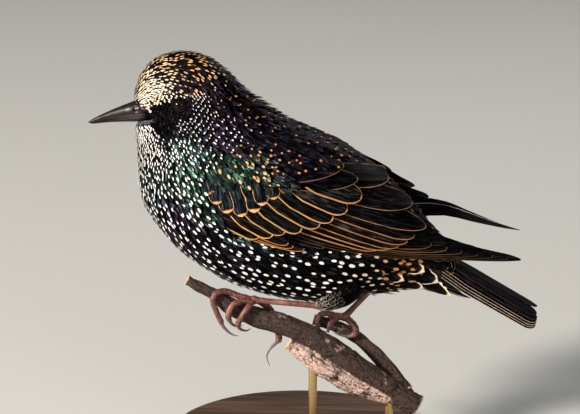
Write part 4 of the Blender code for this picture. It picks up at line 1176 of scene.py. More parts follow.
def strips(points, across_row):
    """The unwrap of blades: each one a strip of its own, in rows on the sheet."""
    count, rows = points.shape[:2]
    k = np.arange(count)
    lines = int(math.ceil(count / across_row))
    u = np.append(np.linspace(0, 1, 9), 0.5)
    share = np.linspace(0, 1, rows)
    across = ((k % across_row)[:, None, None] + 0.08 + 0.84 * u) / across_row
    along = ((k // across_row)[:, None, None] + 0.04 + 0.92 * share[:, None]) / lines
    return np.stack([np.broadcast_to(across, points.shape[:3]), np.broadcast_to(along, points.shape[:3])], -1)


def blade_looks(count, gloss, metallic, mark, fringe, spot=(0.0, 0.0), spots=0.0):
    """The looks of blades that all have one colour, gloss and pattern, each a little different."""
    rows = np.ones(count)
    size = {
        "spot_length": rows * spot[0],
        "spot_half": rows * spot[1],
        "spots": rows * spots,
        "fringe": rows,
        "metallic": rows * metallic,
        "mark": rows[:, None] * np.array(mark),
        "gloss": rows[:, None] * np.array(gloss),
    }
    looks = colour_looks(size, count)
    looks["fringe"] = rows[:, None] * np.array(fringe) * chance.normal(1, 0.12, (count, 3)).clip(0.7, 1.4)
    return looks


def stack(*looks):
    return {name: np.concatenate([look[name] for look in looks]) for name in looks[0]}


def on_wing(side):
    return lambda x, z, depth: wing_point(x, z, np.broadcast_to(depth, x.shape), side)


print("blade ready, thickness", FLIGHT_THICK, "mm")

# %% [markdown]
# The folded wing shows its tertials and the edges of the secondaries, then the bundle of primaries that
# crosses the rump. Their numbers are tips as x and z, half widths and where the end starts to round, upper
# feather first, because each one lies under the one above it. The right wing is held a little higher.

# %% Flight feathers
ROOT_TOP, ROOT_BOTTOM = (6.0, 132.5), (-11.0, 101.8)
FLIGHT_TOP, VANE_STEP = 2.2, 0.33
PRIMARY_TOP = 4.95
SECONDARIES = [
    ((38.6, 125.6), 4.3, 0.55, -3),
    ((49, 115.6), 5, 0.6, -0.6),
    ((54.6, 106.4), 5, 0.62, 1),
    ((50, 102.6), 4.2, 0.8, 2),
    ((47, 100), 4, 0.8, 2.4),
    ((43.6, 98), 3.9, 0.8, 2.6),
    ((39.8, 97), 3.7, 0.8, 2.6),
    ((35.6, 96.6), 3.5, 0.8, 2.6),
]
PRIMARIES = [
    ((57.6, 97.6), 4.4, 0.75, 8.8),
    ((63.6, 95), 4.4, 0.7, 9.4),
    ((70, 93), 4.4, 0.65, 9.8),
    ((76.4, 91.2), 4.4, 0.6, 10.2),
    ((82.6, 89.6), 4.3, 0.55, 10.5),
    ((88.6, 88), 4.1, 0.5, 10.6),
    ((93.8, 86.8), 3.9, 0.5, 10.6),
]
PRIMARY_BOW = {LEFT: -2.2, RIGHT: 2.0}
# How much wider the inner vane is; on the raised right wing only the outer primaries have it wide.
PRIMARY_INNER = {LEFT: 7.0, RIGHT: np.linspace(-1.4, 2.4, 7)}
RAISED_LIFT = -1.0
TERTIAL_COLOUR, FLIGHT_COLOUR = (0.026, 0.018, 0.028), (0.024, 0.019, 0.018)
# Gloss colour, metallic gloss, colour of the edges and the fringe's widths at low edge, high edge and tip.
FLIGHT_LOOKS = {
    "tertial": (TERTIAL_COLOUR, 0.2, (0.33, 0.17, 0.08), (0.2, 0.04, 0.28)),
    "secondary": (FLIGHT_COLOUR, 0.3, MARK_COLOURS["rufous"], (0.4, 0.0, 0.22)),
    "inner_primary": (FLIGHT_COLOUR, 0.15, (0.26, 0.13, 0.06), (0.22, 0.0, 0.12)),
    "outer_primary": (FLIGHT_COLOUR, 0.15, (0.12, 0.07, 0.04), (0.15, 0.0, 0.1)),
}
# The raised wing's outermost primary carries a painted highlight: a pale fringe along its top edge, painted
# as a glint of light there.
LAST_PRIMARY_LOOKS_AND_GLINT = {
    LEFT: FLIGHT_LOOKS["outer_primary"],
    # Painted highlight: the pale edge colour and the wide high-edge fringe paint a glint along the top edge.
    RIGHT: (FLIGHT_COLOUR, 0.15, (0.66, 0.6, 0.52), (0.03, 0.4, 0.1)),
}


def flight_vanes(feathers, side, shares, top, shaft, bow=0.0, inner=0.0):
    roots, tips, halves, rounding = [], [], [], []
    for k, (tip, half, round_from, lift) in enumerate(feathers):
        share = shares[0] + (shares[1] - shares[0]) * (k + 0.5) / min(len(feathers), 7)
        roots.append(np.array(ROOT_TOP) + (np.array(ROOT_BOTTOM) - ROOT_TOP) * min(share, 1))
        tips.append((tip[0], tip[1] + (lift + RAISED_LIFT if side == RIGHT else 0.0)))
        halves.append(half)
        rounding.append(round_from)
    halves = np.array(halves)
    depth = top + VANE_STEP * np.arange(len(feathers))
    depths = np.stack([depth, depth], -1)
    return flat_vanes(on_wing(side), roots, tips, halves, halves + inner, rounding, depths, shaft, bow=bow)


def flight_piece(group, side, vanes, looks, across_row):
    word = SIDE_NAMES[side]
    bake = strips(vanes[0], across_row)
    vane_piece(f"{group}_{word}", *vanes, looks, bake, WING, [f"wing_{word}_{group}"], "flight_feathers")


def make_flight(side):
    vanes = flight_vanes(SECONDARIES, side, (0.0, 0.68), FLIGHT_TOP, -0.3)
    looks = stack(blade_looks(3, *FLIGHT_LOOKS["tertial"]), blade_looks(5, *FLIGHT_LOOKS["secondary"]))
    flight_piece("secondaries", side, vanes, looks, 8)
    vanes = flight_vanes(
        PRIMARIES, side, (0.5, 1.0), PRIMARY_TOP, -0.45, PRIMARY_BOW[side], PRIMARY_INNER[side])
    looks = stack(
        blade_looks(3, *FLIGHT_LOOKS["inner_primary"]),
        blade_looks(len(PRIMARIES) - 4, *FLIGHT_LOOKS["outer_primary"]),
        blade_looks(1, *LAST_PRIMARY_LOOKS_AND_GLINT[side]),
    )
    flight_piece("primaries", side, vanes, looks, 7)


for side in SIDE_NAMES:
    make_flight(side)

# %% [markdown]
# The coverts lie on the wing like roof tiles in three sizes: lesser ones at the shoulder, green and glossy,
# then the medians with their buff tips, then the greater ones, which reach over the secondaries. Above them
# the scapulars grow from the shoulder and hide the roots of the tertials. A solid shoulder under them
# closes the gaps, as the bones and flesh of the forearm do.

# %% Wing coverts
SHOULDER_FRONT, SHOULDER_REAR, SHOULDER_HALF = (-43.0, 118.0), (-6.2, 117.0), 16.5
GREATER_TIPS = [
    (-14.6, 102.9), (-9.1, 103.6), (-4.1, 105), (2.6, 106), (10.2, 108.3), (15.7, 110.9), (21.6, 114.5),
    (27.5, 119.3),
]
GREATER_ROOTS = ((-31.0, 110.0), (3.0, 127.5))
MEDIAN_TIPS = [
    (-36.9, 118.4), (-32.7, 115.2), (-27.9, 111.9), (-22, 110.8), (-16.9, 112.9), (-13.4, 116.1),
    (-8.4, 118.9), (-3, 121.6),
]
PRIMARY_COVERTS = [((-24, 107), (-3, 99.6)), ((-25, 105.5), (-1, 98.2)), ((-26, 104), (3.6, 97))]
SCAPULAR_TIPS = [(25.6, 126.2), (19.6, 131.4), (8.0, 135.6)]
SCAPULAR_ROOTS = ((-9.0, 128.0), (-20.0, 131.5))
LESSER_OUTLINE = [
    (-43.5, 114), (-42.5, 124), (-35, 134), (-22, 138.5), (-10, 137.5), (-6, 128), (-11, 123), (-20, 120),
    (-29, 121.5), (-38, 124.5),
]
SCAPULAR_OUTLINE = [
    (-26, 139.5), (-8, 139.5), (9, 136.5), (19, 131.5), (17, 127.5), (6, 126.5), (-6, 126.5), (-16, 130),
    (-26, 134),
]
# The ways in which the small feathers point, as x and z.
LESSER_WAY, MEDIAN_WAY, SCAPULAR_WAY = (0.58, -0.81), (0.25, -1.0), (0.92, -0.39)
# As for the flight feathers, and for spotted ones the length, half width and share of the spots.
COVERT_LOOKS = {
    "primary": (FLIGHT_COLOUR, 0.35, MARK_COLOURS["rufous"], (0.3, 0.0, 0.3)),
    "greater": ((0.03, 0.03, 0.033), 0.4, (0.52, 0.25, 0.08), (0.55, 0.12, 0.55)),
    "upper_median": ((0.05, 0.08, 0.085), 0.5, MARK_COLOURS["buff"], (0.1, 0.1, 0.3)),
    "front_median": ((0.07, 0.1, 0.122), 0.5, (0.6, 0.31, 0.12), (0.1, 0.1, 1.4)),
    "rear_median": ((0.03, 0.03, 0.03), 0.4, (0.55, 0.28, 0.1), (0.1, 0.1, 0.9)),
    "lesser": ((0.105, 0.195, 0.15), 0.72, (0.64, 0.4, 0.2), (0, 0, 0), (2.3, 0.62), 0.8),
    "scapular": (TERTIAL_COLOUR, 0.3, (0.3, 0.15, 0.07), (0.13, 0.03, 0.28)),
    "small_scapular": (GLOSS_COLOURS["violet"], 0.5, (0.42, 0.19, 0.07), (0.0, 0.0, 0.0), (1.1, 0.42), 0.6),
}


def tiled(outline, way, row_step, side_step):
    """Places in staggered rows inside an outline, for feathers that point along way, last row first."""
    way = np.array(way) / math.hypot(*way)
    across = np.array([-way[1], way[0]])
    corners = np.array(outline)
    along_range = corners @ way
    across_range = corners @ across
    found = []
    rows = np.arange(along_range.min(), along_range.max(), row_step)
    for k, along in enumerate(rows):
        beside = np.arange(across_range.min() + side_step * (k % 2) / 2, across_range.max(), side_step)
        beside = beside + chance.normal(0, 0.08 * side_step, len(beside))
        ahead = along + chance.normal(0, 0.1 * row_step, len(beside))
        line = np.outer(ahead, way) + np.outer(beside, across)
        found.append(line[inside_outline(line[:, 0], line[:, 1], outline) > 0])
    return np.concatenate(found)


def small_vanes(tips, way, size, half, depths, side, round_from=0.45):
    tips = np.array(tips, float)
    way = np.array(way) / math.hypot(*way)
    reach = size * chance.normal(1, 0.06, len(tips))
    turn = chance.normal(0, 0.09, len(tips))
    ways = np.outer(np.cos(turn), way) + np.outer(np.sin(turn), (-way[1], way[0]))
    depth = np.ones((len(tips), 1)) * np.array(depths) + chance.normal(0, 0.04, (len(tips), 1))
    return flat_vanes(
        on_wing(side), tips - ways * reach[:, None], tips, half, half, round_from, depth, rows=9, arch=0.3,
        tilt=0.05, blunt=0.12)


def between(ends, count):
    """Places at even steps from the first of two ends to the second."""
    first, last = np.array(ends)
    return first + np.arange(count)[:, None] / (count - 1) * (last - first)


def stepped(first, step, count, towards_tip=0.0):
    """Depths of blades that lie over each other like tiles, at the root and at the tip."""
    return first + step * np.arange(count)[:, None] + np.array([[0.0, towards_tip]])


def greater_vanes(side):
    count = len(GREATER_TIPS)
    return flat_vanes(
        on_wing(side), between(GREATER_ROOTS, count), GREATER_TIPS, 4.1, 4.1, 0.72,
        stepped(1.25, -0.05, count, -0.15), -0.2, rows=12)


def scapular_vanes(side):
    return flat_vanes(
        on_wing(side), between(SCAPULAR_ROOTS, 3), SCAPULAR_TIPS, 4.8, 4.8, 0.35,
        stepped(0.9, -0.15, 3, -0.2), rows=14, arch=0.2)


def primary_coverts(side):
    roots, tips = zip(*PRIMARY_COVERTS)
    return flat_vanes(on_wing(side), roots, tips, 2.4, 2.4, 0.7, stepped(1.7, 0.2, 3), -0.4, rows=12)


def shoulder_core(side):
    """The solid shoulder and forearm under the coverts."""
    share = np.array([0, 0.04, 0.1, 0.2, 0.35, 0.55, 0.78, 1.0])
    middle = np.array(SHOULDER_FRONT) + share[:, None] * (np.array(SHOULDER_REAR) - SHOULDER_FRONT)
    half = (SHOULDER_HALF - 0.6) * np.sqrt(1 - (1 - share) ** 2 * 0.97)
    across = unit(np.stack([0.55 * share, np.ones(8)], -1)) * half[:, None]
    columns = np.linspace(-1, 1, 13)
    flat = middle[:, None] + across[:, None] * columns[:, None]
    x, z = flat[..., 0], flat[..., 1]
    outer_face = wing_point(x, z, np.full(x.shape, 1.35), side)
    inner_face = wing_point(x, z, np.maximum(wing_depth(x), 1.5), side)
    points, faces = grid_mesh(np.concatenate([outer_face, inner_face[:, ::-1]], 1))
    faces = turned(faces) if side == RIGHT else faces
    name = f"wing_{SIDE_NAMES[side]}"
    new_piece(f"{name}_shoulder", points, faces, DARK, [f"{name}_coverts"])


def covert_pieces(name, groups, material):
    """One piece for all the groups of vanes that have the same number of rows."""
    for rows in sorted({vanes[0].shape[1] for vanes, _ in groups}):
        chosen = [(vanes, looks) for vanes, looks in groups if vanes[0].shape[1] == rows]
        points, measures = pile(*(vanes for vanes, _ in chosen))
        looks = stack(*(looks for _, looks in chosen))
        vane_piece(name, points, measures, looks, strips(points, 12), material, [], "wing_coverts")


def make_coverts(side):
    shoulder_core(side)
    lesser_tips = tiled(LESSER_OUTLINE, LESSER_WAY, 3.8, 4.6)
    roots = lesser_tips - np.array(LESSER_WAY) * 10
    lesser_tips = lesser_tips[inside_outline(roots[:, 0], roots[:, 1], WING_OUTLINE) > -4.0]
    scapular_tips = tiled(SCAPULAR_OUTLINE, SCAPULAR_WAY, 4.0, 4.0)
    median_tips = np.array(MEDIAN_TIPS)
    medians, greaters = len(MEDIAN_TIPS), len(GREATER_TIPS)
    coverts = [
        (primary_coverts(side), blade_looks(3, *COVERT_LOOKS["primary"])),
        (greater_vanes(side), blade_looks(greaters, *COVERT_LOOKS["greater"])),
        (
            small_vanes(median_tips + (-1.5, 5.0), MEDIAN_WAY, 9.0, 2.9, (1.3, 0.9), side),
            blade_looks(medians, *COVERT_LOOKS["upper_median"]),
        ),
        (
            small_vanes(median_tips, MEDIAN_WAY, 12.5, 3.2, (1.3, 0.45), side, 0.7),
            stack(
                blade_looks(6, *COVERT_LOOKS["front_median"]),
                blade_looks(medians - 6, *COVERT_LOOKS["rear_median"]),
            ),
        ),
    ]
    shoulder = [
        (
            small_vanes(lesser_tips, LESSER_WAY, 10.6, 3.1, (1.1, 0.15), side),
            blade_looks(len(lesser_tips), *COVERT_LOOKS["lesser"]),
        ),
        (scapular_vanes(side), blade_looks(3, *COVERT_LOOKS["scapular"])),
        (
            small_vanes(scapular_tips, SCAPULAR_WAY, 10.0, 2.7, (0.85, 0.0), side),
            blade_looks(len(scapular_tips), *COVERT_LOOKS["small_scapular"]),
        ),
    ]
    covert_pieces(f"coverts_{SIDE_NAMES[side]}", coverts, WING)
    covert_pieces(f"shoulder_feathers_{SIDE_NAMES[side]}", shoulder, COAT)


DARK = plain_material("dark_down", (0.006, 0.005, 0.006), 0.9, {"Specular IOR Level": 0.1})
for side in SIDE_NAMES:
    make_coverts(side)

# %% [markdown]
# Twelve tail feathers lie in a slightly arched fan, the middle pair on top. The tail is turned a little about
# its own length, as in the photograph, where more of its upper face shows.

# %% Tail
TAIL_ROOT, TAIL_TIP = (58.0, 90.0), (101.0, 64.6)
TAIL_PAIRS, TAIL_HALF_WIDTH, TAIL_VANE = 6, 12.6, 4.0
TAIL_NOTCH, TAIL_SKEW, TAIL_ROUND_FROM = 2.2, 0.9, 0.9
TAIL_ARCH, TAIL_ROLL = 0.014, math.radians(8)


def tail_point(u, v, depth):
    """The place u along the tail, v across it, at that depth under its upper face."""
    root, tip = np.array([TAIL_ROOT[0], 0, TAIL_ROOT[1]]), np.array([TAIL_TIP[0], 0, TAIL_TIP[1]])
    way = unit(tip - root)
    up = np.array([-way[2], 0, way[0]])
    down = depth + TAIL_ARCH * v * v - v * math.sin(TAIL_ROLL)
    point = root + way * u[..., None] - up * np.broadcast_to(down, u.shape)[..., None]
    return np.stack([point[..., 0], v * math.cos(TAIL_ROLL), point[..., 2]], -1)


def make_tail():
    span = math.hypot(TAIL_TIP[0] - TAIL_ROOT[0], TAIL_TIP[1] - TAIL_ROOT[1])
    roots, tips, depths, shafts = [], [], [], []
    for pair in range(TAIL_PAIRS):
        spread = ((pair + 0.3) / TAIL_PAIRS) ** 0.36
        for side in SIDE_NAMES:
            reach = span - TAIL_NOTCH * (1 - spread) ** 2 - side * TAIL_SKEW * spread
            roots.append((6.0, side * spread * 8.0))
            tips.append((reach, side * spread * (TAIL_HALF_WIDTH - TAIL_VANE + 1.2)))
            tip_depth = 0.35 * pair + (0.1 if side == LEFT else 0.0)
            depths.append((tip_depth + 2.4 * spread**3, tip_depth))
            shafts.append(side * 0.4 * spread)
    points, measures = flat_vanes(
        tail_point, roots, tips, TAIL_VANE, TAIL_VANE, TAIL_ROUND_FROM, depths, shafts, rows=20, arch=0.12)
    dark = (0.026, 0.017, 0.03)
    looks = stack(
        blade_looks(4, dark, 0.15, (0.16, 0.09, 0.07), (0.12, 0.12, 0.15)),
        blade_looks(8, dark, 0.15, (0.86, 0.68, 0.46), (0.2, 0.2, 0.25)),
    )
    vane_piece("tail_feathers", points, measures, looks, strips(points, 6), WING, ["tail"], "tail_feathers")


make_tail()

# %% [markdown]
# The bill is horn: smooth, dense and slightly polished, darkest along its ridge and paler by the line of the
# mouth. Each half is lofted along that line from rings that are squarer than an ellipse. The nostril is a
# slit pressed into the upper half with a soft flap of skin in it, and the bare horn runs back into the
# face, where the feathers stop short of it.

# %% Bill
BILL_TIP_X, BILL_BASE_X, BILL_TIP_Z, MOUTH_SLOPE = -88.8, -65.5, 142.9, 0.1875
NOSTRIL_AT = (-68.1, 149.8)
NOSTRIL_LONG, NOSTRIL_HIGH, NOSTRIL_DEEP = 1.9, 0.95, 0.7
# Share of the way back from the tip, reach above and below the mouth line, and half width.
BILL_ROWS = np.array([
    (0, 0.25, 0.2, 0.35),
    (0.08, 1.1, 0.8, 0.85),
    (0.2, 2.1, 1, 1.25),
    (0.42, 3.6, 1.4, 1.9),
    (0.68, 5, 2.2, 2.9),
    (0.88, 6, 2.9, 4.1),
    (1, 6.2, 3.4, 5.2),
    (1.1, 5.8, 3.9, 6.1),
    (1.21, 4.4, 4.4, 7),
])


def mouth_z(x):
    return BILL_TIP_Z + (x - BILL_TIP_X) * MOUTH_SLOPE


def horn_material():
    material = plain_material("horn", (0.05, 0.04, 0.038), 0.3, {"IOR": 1.26})
    tree = material.node_tree
    height, back, _ = split(tree, "on_bill")
    streaks = noise_value(tree, own_place(tree, (0.15, 1.0, 1.0)), 900.0, 4.0, 0.6)
    pale = times(tree, fade_out(tree, height, 0.15, 1.5), fade(tree, back, 0.3, 0.9))
    colour = mix_colour(tree, streaks, (0.006, 0.004, 0.005, 1), (0.02, 0.012, 0.013, 1))
    colour = mix_colour(tree, times(tree, pale, 0.35), colour, (0.13, 0.09, 0.1, 1))
    return finish(material, {
        "Base Color": mix_colour(tree, fade(tree, back, 0.98, 1.08), colour, (0.004, 0.003, 0.004, 1)),
        "Roughness": scaled(tree, streaks, 0.2, 0.22),
        "Metallic": fade(tree, back, 0.9, 1.03),
        "Normal": relief_normal(tree, streaks, 0.3, 0.0001),
    })


def bill_half(name, upper):
    share = np.linspace(0, 1, 70) ** 1.1 * BILL_ROWS[-1, 0]
    row = on_rows(BILL_ROWS, np.interp(share, BILL_ROWS[:, 0], np.arange(len(BILL_ROWS))))
    x = BILL_TIP_X + (BILL_BASE_X - BILL_TIP_X) * share
    angle = np.linspace(0, math.pi, 33)
    reach = row[:, 1] if upper else -row[:, 2]
    arch = np.sin(angle) ** 0.8
    edge = mouth_z(x) + (0.13 if upper else -0.13)
    y = row[:, 3:4] * np.cos(angle)
    z = edge[:, None] + reach[:, None] * arch
    points = np.stack([np.broadcast_to(x[:, None], y.shape), y, z], -1)
    if upper:
        across = (points[..., 0] - NOSTRIL_AT[0]) / NOSTRIL_LONG
        raised = (points[..., 2] - NOSTRIL_AT[1] - 0.12 * (points[..., 0] - NOSTRIL_AT[0])) / NOSTRIL_HIGH
        far = np.hypot(across, raised)
        pit = -NOSTRIL_DEEP * (1 - ease((far - 0.55) / 0.5)) + 0.16 * np.exp(-((far - 1.25) / 0.22) ** 2)
        points[..., 1] += np.sign(points[..., 1]) * pit * (np.abs(points[..., 1]) > 0.8)
    y = row[:, 3:4] * np.linspace(-1, 1, 7)[1:-1]
    floor_points = [np.broadcast_to(x[:, None], y.shape), y, np.broadcast_to(edge[:, None], y.shape)]
    places, faces = grid_mesh(np.concatenate([points, np.stack(floor_points, -1)], 1))
    piece = new_piece(name, places, faces if upper else turned(faces), HORN, [name])
    height = np.abs(places[:, 2] - mouth_z(places[:, 0]))
    back = (places[:, 0] - BILL_TIP_X) / (BILL_BASE_X - BILL_TIP_X)
    add_attribute(piece.data, "on_bill", np.stack([height, back, back * 0], -1), "FLOAT_VECTOR")
    piece.data.set_sharp_from_angle(angle=math.radians(60))


def nostril_flap(side):
    """The soft flap that half covers a nostril."""
    t, turn = ring_grid(np.linspace(0.02, 0.98, 12), 16)
    wide = np.sqrt(1 - (2 * t - 1) ** 2)
    row = on_rows(BILL_ROWS, np.interp(0.89, BILL_ROWS[:, 0], np.arange(len(BILL_ROWS))))
    x = NOSTRIL_AT[0] + 0.3 + (2 * t - 1) * NOSTRIL_LONG * 0.62
    z = NOSTRIL_AT[1] + 0.28 + wide * 0.42 * np.cos(turn) + 0.1 * (2 * t - 1)
    y = side * (row[3] * 0.86 - 0.28 + wide * 0.3 * np.sin(turn))
    points, faces = grid_mesh(np.stack([x, y, z], -1))
    new_piece(f"nostril_flap_{SIDE_NAMES[side]}", points, faces, SOFT_HORN, [])


HORN = horn_material()
SOFT_HORN = plain_material("nostril_skin", (0.3, 0.22, 0.22), 0.5)
bill_half("bill_upper", True)
bill_half("bill_lower", False)
for side in SIDE_NAMES:
    nostril_flap(side)
print("bill length:", BILL_BASE_X - BILL_TIP_X, "mm")

# %% [markdown]
# A bird's eye is a wet ball. The clear front is what shows: a dark brown iris round a black pupil, under a
# sharp reflection of the lamp. A narrow ring of bare skin closes round it, and the small feathers of the
# face stop at that ring.

# %% Eyes
IRIS_HALF, PUPIL_HALF = 2.0, 1.15
LID_HALF, LID_THICK = 2.25, 0.34


def eye_material():
    material = plain_material("wet_eye", (0.01, 0.006, 0.005), 0.04, {"IOR": 1.24})
    tree = material.node_tree
    away = attribute(tree, "from_axis").outputs["Fac"]
    outside_pupil = fade(tree, away, PUPIL_HALF - 0.1, PUPIL_HALF + 0.15)
    iris = times(tree, outside_pupil, fade_out(tree, away, IRIS_HALF - 0.35, IRIS_HALF + 0.1))
    colour = mix_colour(tree, iris, (0.002, 0.0015, 0.0015, 1), (0.01, 0.004, 0.003, 1))
    return finish(material, {"Base Color": colour})


EYE = eye_material()
LID_SKIN = plain_material("lid_skin", (0.006, 0.005, 0.005), 0.6, {"IOR": 1.15})


def make_eyeball(side, centre):
    word = SIDE_NAMES[side]
    t, turn = ring_grid(np.linspace(0.01, math.pi - 0.01, 36), 48)
    away = np.sin(t)
    ball = np.stack([away * np.cos(turn), side * np.cos(t), away * np.sin(turn)], -1) * EYE_RADIUS
    points, faces = grid_mesh(centre + ball)
    faces = turned(faces) if side == RIGHT else faces
    eye = new_piece(f"eyeball_{word}", points, faces, EYE, [f"eye_{word}"])
    front = side * (points[:, 1] - centre[1]) > 0
    away = np.hypot(*(points - centre)[:, [0, 2]].T)
    add_attribute(eye.data, "from_axis", np.where(front, away, 9.0), "FLOAT")


def make_lids(side, centre):
    """The ring of bare skin that closes round the eye."""
    t, turn = ring_grid(np.linspace(0, math.tau, 64, endpoint=False), 10)
    thick = LID_THICK * (1 + 0.1 * np.sin(9 * t))
    wide = LID_HALF * (1 - 0.07 * np.sin(t) ** 2) + thick * np.cos(turn)
    level = EYE_RADIUS - EYE_PROUD - 0.05 + LID_THICK * np.sin(turn) - 0.06 * (wide - LID_HALF)
    places = centre + np.stack([wide * np.cos(t), side * level, wide * np.sin(t)], -1)
    number = np.arange(t.size).reshape(t.shape)
    ahead = np.roll(number, -1, 0)
    quads = np.stack([number, np.roll(number, -1, 1), np.roll(ahead, -1, 1), ahead], -1)
    quads = quads.reshape(-1, 4).tolist()
    quads = turned(quads) if side == LEFT else quads
    new_piece(f"lids_{SIDE_NAMES[side]}", places.reshape(-1, 3), quads, LID_SKIN, [])


def make_eye(side):
    low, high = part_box(f"eye_{SIDE_NAMES[side]}")
    centre = np.array((low + high) / 2) / MM
    make_eyeball(side, centre)
    make_lids(side, centre)
    return centre


for side in SIDE_NAMES:
    print("eye", SIDE_NAMES[side], [round(float(value), 1) for value in make_eye(side)])

# %% [markdown]
# A perching foot is covered with horny scales: broad half rings, called scutes, down the front of the leg and
# on top of the toes, and soft pads beneath, with a bulge at each joint. The toes follow the branch, so their
# line is given as places along a stem and degrees round it, and the claws run on from their ends.

# %% Stems, feet and claws
FOOTHOLDS = {LEFT: ("main", -21.0, -7.0), RIGHT: ("upper", 16.3, 0.0)}
HEELS = {LEFT: (10.0, -12.0, 68.2), RIGHT: (31.0, 12.0, 70.5)}
PAD_RADIUS, PAD_GAP = 1.9, 0.3
# Rows of x, y, z and radius.
PERCH_STEMS = {
    "main": np.array([
        (-47, -10, 78, 2.4), (-36, -10, 72, 3.1), (-27, -10, 66, 4.3),
        (-16, -9.5, 61.6, 4.7), (0, -8, 56.2, 4.9), (17, -6, 46, 4.8),
        (34, -3, 32.4, 5), (50, -1, 21.5, 5.2),
    ]),
    "lower": np.array([
        (-4.5, -8.4, 50.6, 2.9), (1, -8.3, 46.6, 3.7), (12, -7.2, 38.6, 4.4),
        (24, -5, 31.4, 4.6), (38, -2.5, 26.6, 4.4),
    ]),
    "upper": np.array([
        (5, 10.6, 55.6, 2.4), (12, 10.4, 53.8, 2.8), (19, 10, 50.9, 3),
        (27, 8.6, 45.8, 3.2), (34, 6, 40, 3.4), (45, 0, 27.5, 3.8),
    ]),
}
# Each digit in rows of x along the stem, degrees round it, gap to the bark and radius, after the number of
# rows that are toe. The rest are its claw.
DIGITS = {
    LEFT: {
        "outer": (3, [
            (-22.5, -55, 0.3, 1.3), (-23.5, -100, 0.3, 1.25), (-23.5, -133, 1, 1.2),
            (-22, -151, 2, 0.8), (-19.5, -165, 1.9, 0.5), (-18, -176, 0.9, 0.2),
        ]),
        "middle": (6, [
            (-28.5, -9, 0.3, 1.35), (-33, -22, 0.3, 1.3), (-35.5, -64, 0.3, 1.3),
            (-34.8, -106, 0.3, 1.25), (-31.6, -134, 1.3, 1.2), (-28.5, -149, 2.8, 1.15),
            (-26.5, -157, 4.6, 0.8), (-24, -161, 5.6, 0.5), (-21.7, -162, 5.5, 0.2),
        ]),
        "inner": (4, [
            (-25.3, -30, 0.3, 1.3), (-28.3, -60, 0.3, 1.25), (-28.3, -102, 0.3, 1.2),
            (-27, -134, 0.5, 1.15), (-25.3, -154, 1.4, 0.8), (-23.3, -166, 1.6, 0.5),
            (-21.6, -178, 1, 0.2),
        ]),
        "hind": (5, [
            (-17.5, 30, 0.3, 1.5), (-13, 62, 0.3, 1.5), (-9.5, 99, 0.3, 1.5), (-7, 135, 0.5, 1.45),
            (-6, 172, 1.2, 1.4), (-7.5, 186, 3.4, 1.1), (-9, 188, 6.5, 0.8), (-9, 188, 10.2, 0.5),
            (-6.5, 189, 13.5, 0.2),
        ]),
    },
    RIGHT: {
        "outer": (3, [
            (14, 25, 0.3, 1.3), (12, 60, 0.3, 1.2), (11, 95, 0.3, 1.15), (11.3, 115, 0.8, 0.8),
            (12.3, 135, 0.9, 0.5), (13.5, 150, 0.5, 0.2),
        ]),
        "middle": (5, [
            (13, -3, 0.3, 1.3), (10, -8, 0.3, 1.3), (7.5, -35, 0.3, 1.2), (7, -75, 0.3, 1.15),
            (7.5, -105, 0.3, 1.15), (8.5, -130, 0.8, 0.8), (10.5, -145, 1, 0.5),
            (12.5, -155, 0.6, 0.2),
        ]),
        "inner": (3, [
            (14, -25, 0.3, 1.3), (12.5, -60, 0.3, 1.2), (12.3, -90, 0.3, 1.15),
            (12.3, -112, 0.6, 0.8), (12.6, -130, 0.8, 0.5), (13.2, -145, 0.6, 0.2),
        ]),
        "hind": (3, [
            (19.3, -12, 0.3, 1.5), (21.8, -40, 0.3, 1.4), (22.3, -70, 0.3, 1.35), (21, -92, 0.8, 1),
            (18.5, -103, 1.6, 0.7), (16, -107, 2, 0.4), (14.5, -108, 2, 0.2),
        ]),
    },
}
SHANK_PITCH, TOE_PITCH = 2.3, 1.25
LEG_STEPS, LEG_SIDES = 110, 24
TOE_STEPS, TOE_SIDES, CLAW_SIDES, CAP_STEPS = 10, 16, 12, 5


def stem_row(stem, x):
    rows = PERCH_STEMS[stem]
    x = np.clip(x, rows[0, 0], rows[-1, 0])
    return on_rows(rows, np.interp(x, rows[:, 0], np.arange(len(rows))))


def round_stem(stem, x, turn, clear):
    """A place beside a stem: turn in degrees from its top towards +Y, clear from its bark."""
    x, turn = np.asarray(x, float), np.radians(turn)
    row = stem_row(stem, x)
    slope = stem_row(stem, x + 0.5) - stem_row(stem, x - 0.5)
    way = unit(np.stack([np.ones_like(x), slope[..., 1], slope[..., 2]], -1))
    across = unit(np.array((0.0, 1.0, 0.0)) - way * way[..., 1:2])
    up = np.cross(across, way)
    up = up * np.sign(up[..., 2:3])
    middle = np.stack([x, row[..., 1], row[..., 2]], -1)
    out = up * np.cos(turn)[..., None] + across * np.sin(turn)[..., None]
    return middle + out * (row[..., 3] + clear)[..., None], out


def run_along(points):
    """How far along a line of points each one is."""
    return summed(length(np.diff(points, axis=0)))


def tube(rows, outs, sides, bulge):
    """A round limb along rows of x, y, z and radius, with outs pointing to its upper side."""
    rows = np.asarray(rows, float)
    middle, radius = rows[:, :3], rows[:, 3]
    way = unit(np.gradient(middle, axis=0))
    up = unit(outs - way * (outs * way).sum(-1, keepdims=True))
    aside = np.cross(way, up)
    run = run_along(middle)
    turn = np.linspace(0, math.tau, sides, endpoint=False)
    reach = radius[:, None] * bulge(run[:, None], turn)
    ring = up[:, None] * np.cos(turn)[None, :, None] + aside[:, None] * np.sin(turn)[None, :, None]
    return middle[:, None] + ring * reach[..., None]


def rounded_ends(rows):
    """Rows with a rounded end added at both ends."""
    angle = np.linspace(0, math.pi / 2, CAP_STEPS + 1)[:-1, None]
    caps = []
    for end, near, a in ((rows[0], rows[1], angle), (rows[-1], rows[-2], angle[::-1])):
        middle = end[:3] + unit(end[:3] - near[:3]) * end[3] * np.cos(a)
        caps.append(np.concatenate([middle, np.maximum(end[3] * np.sin(a), 0.02)], 1))
    return np.concatenate([caps[0], rows, caps[1]])


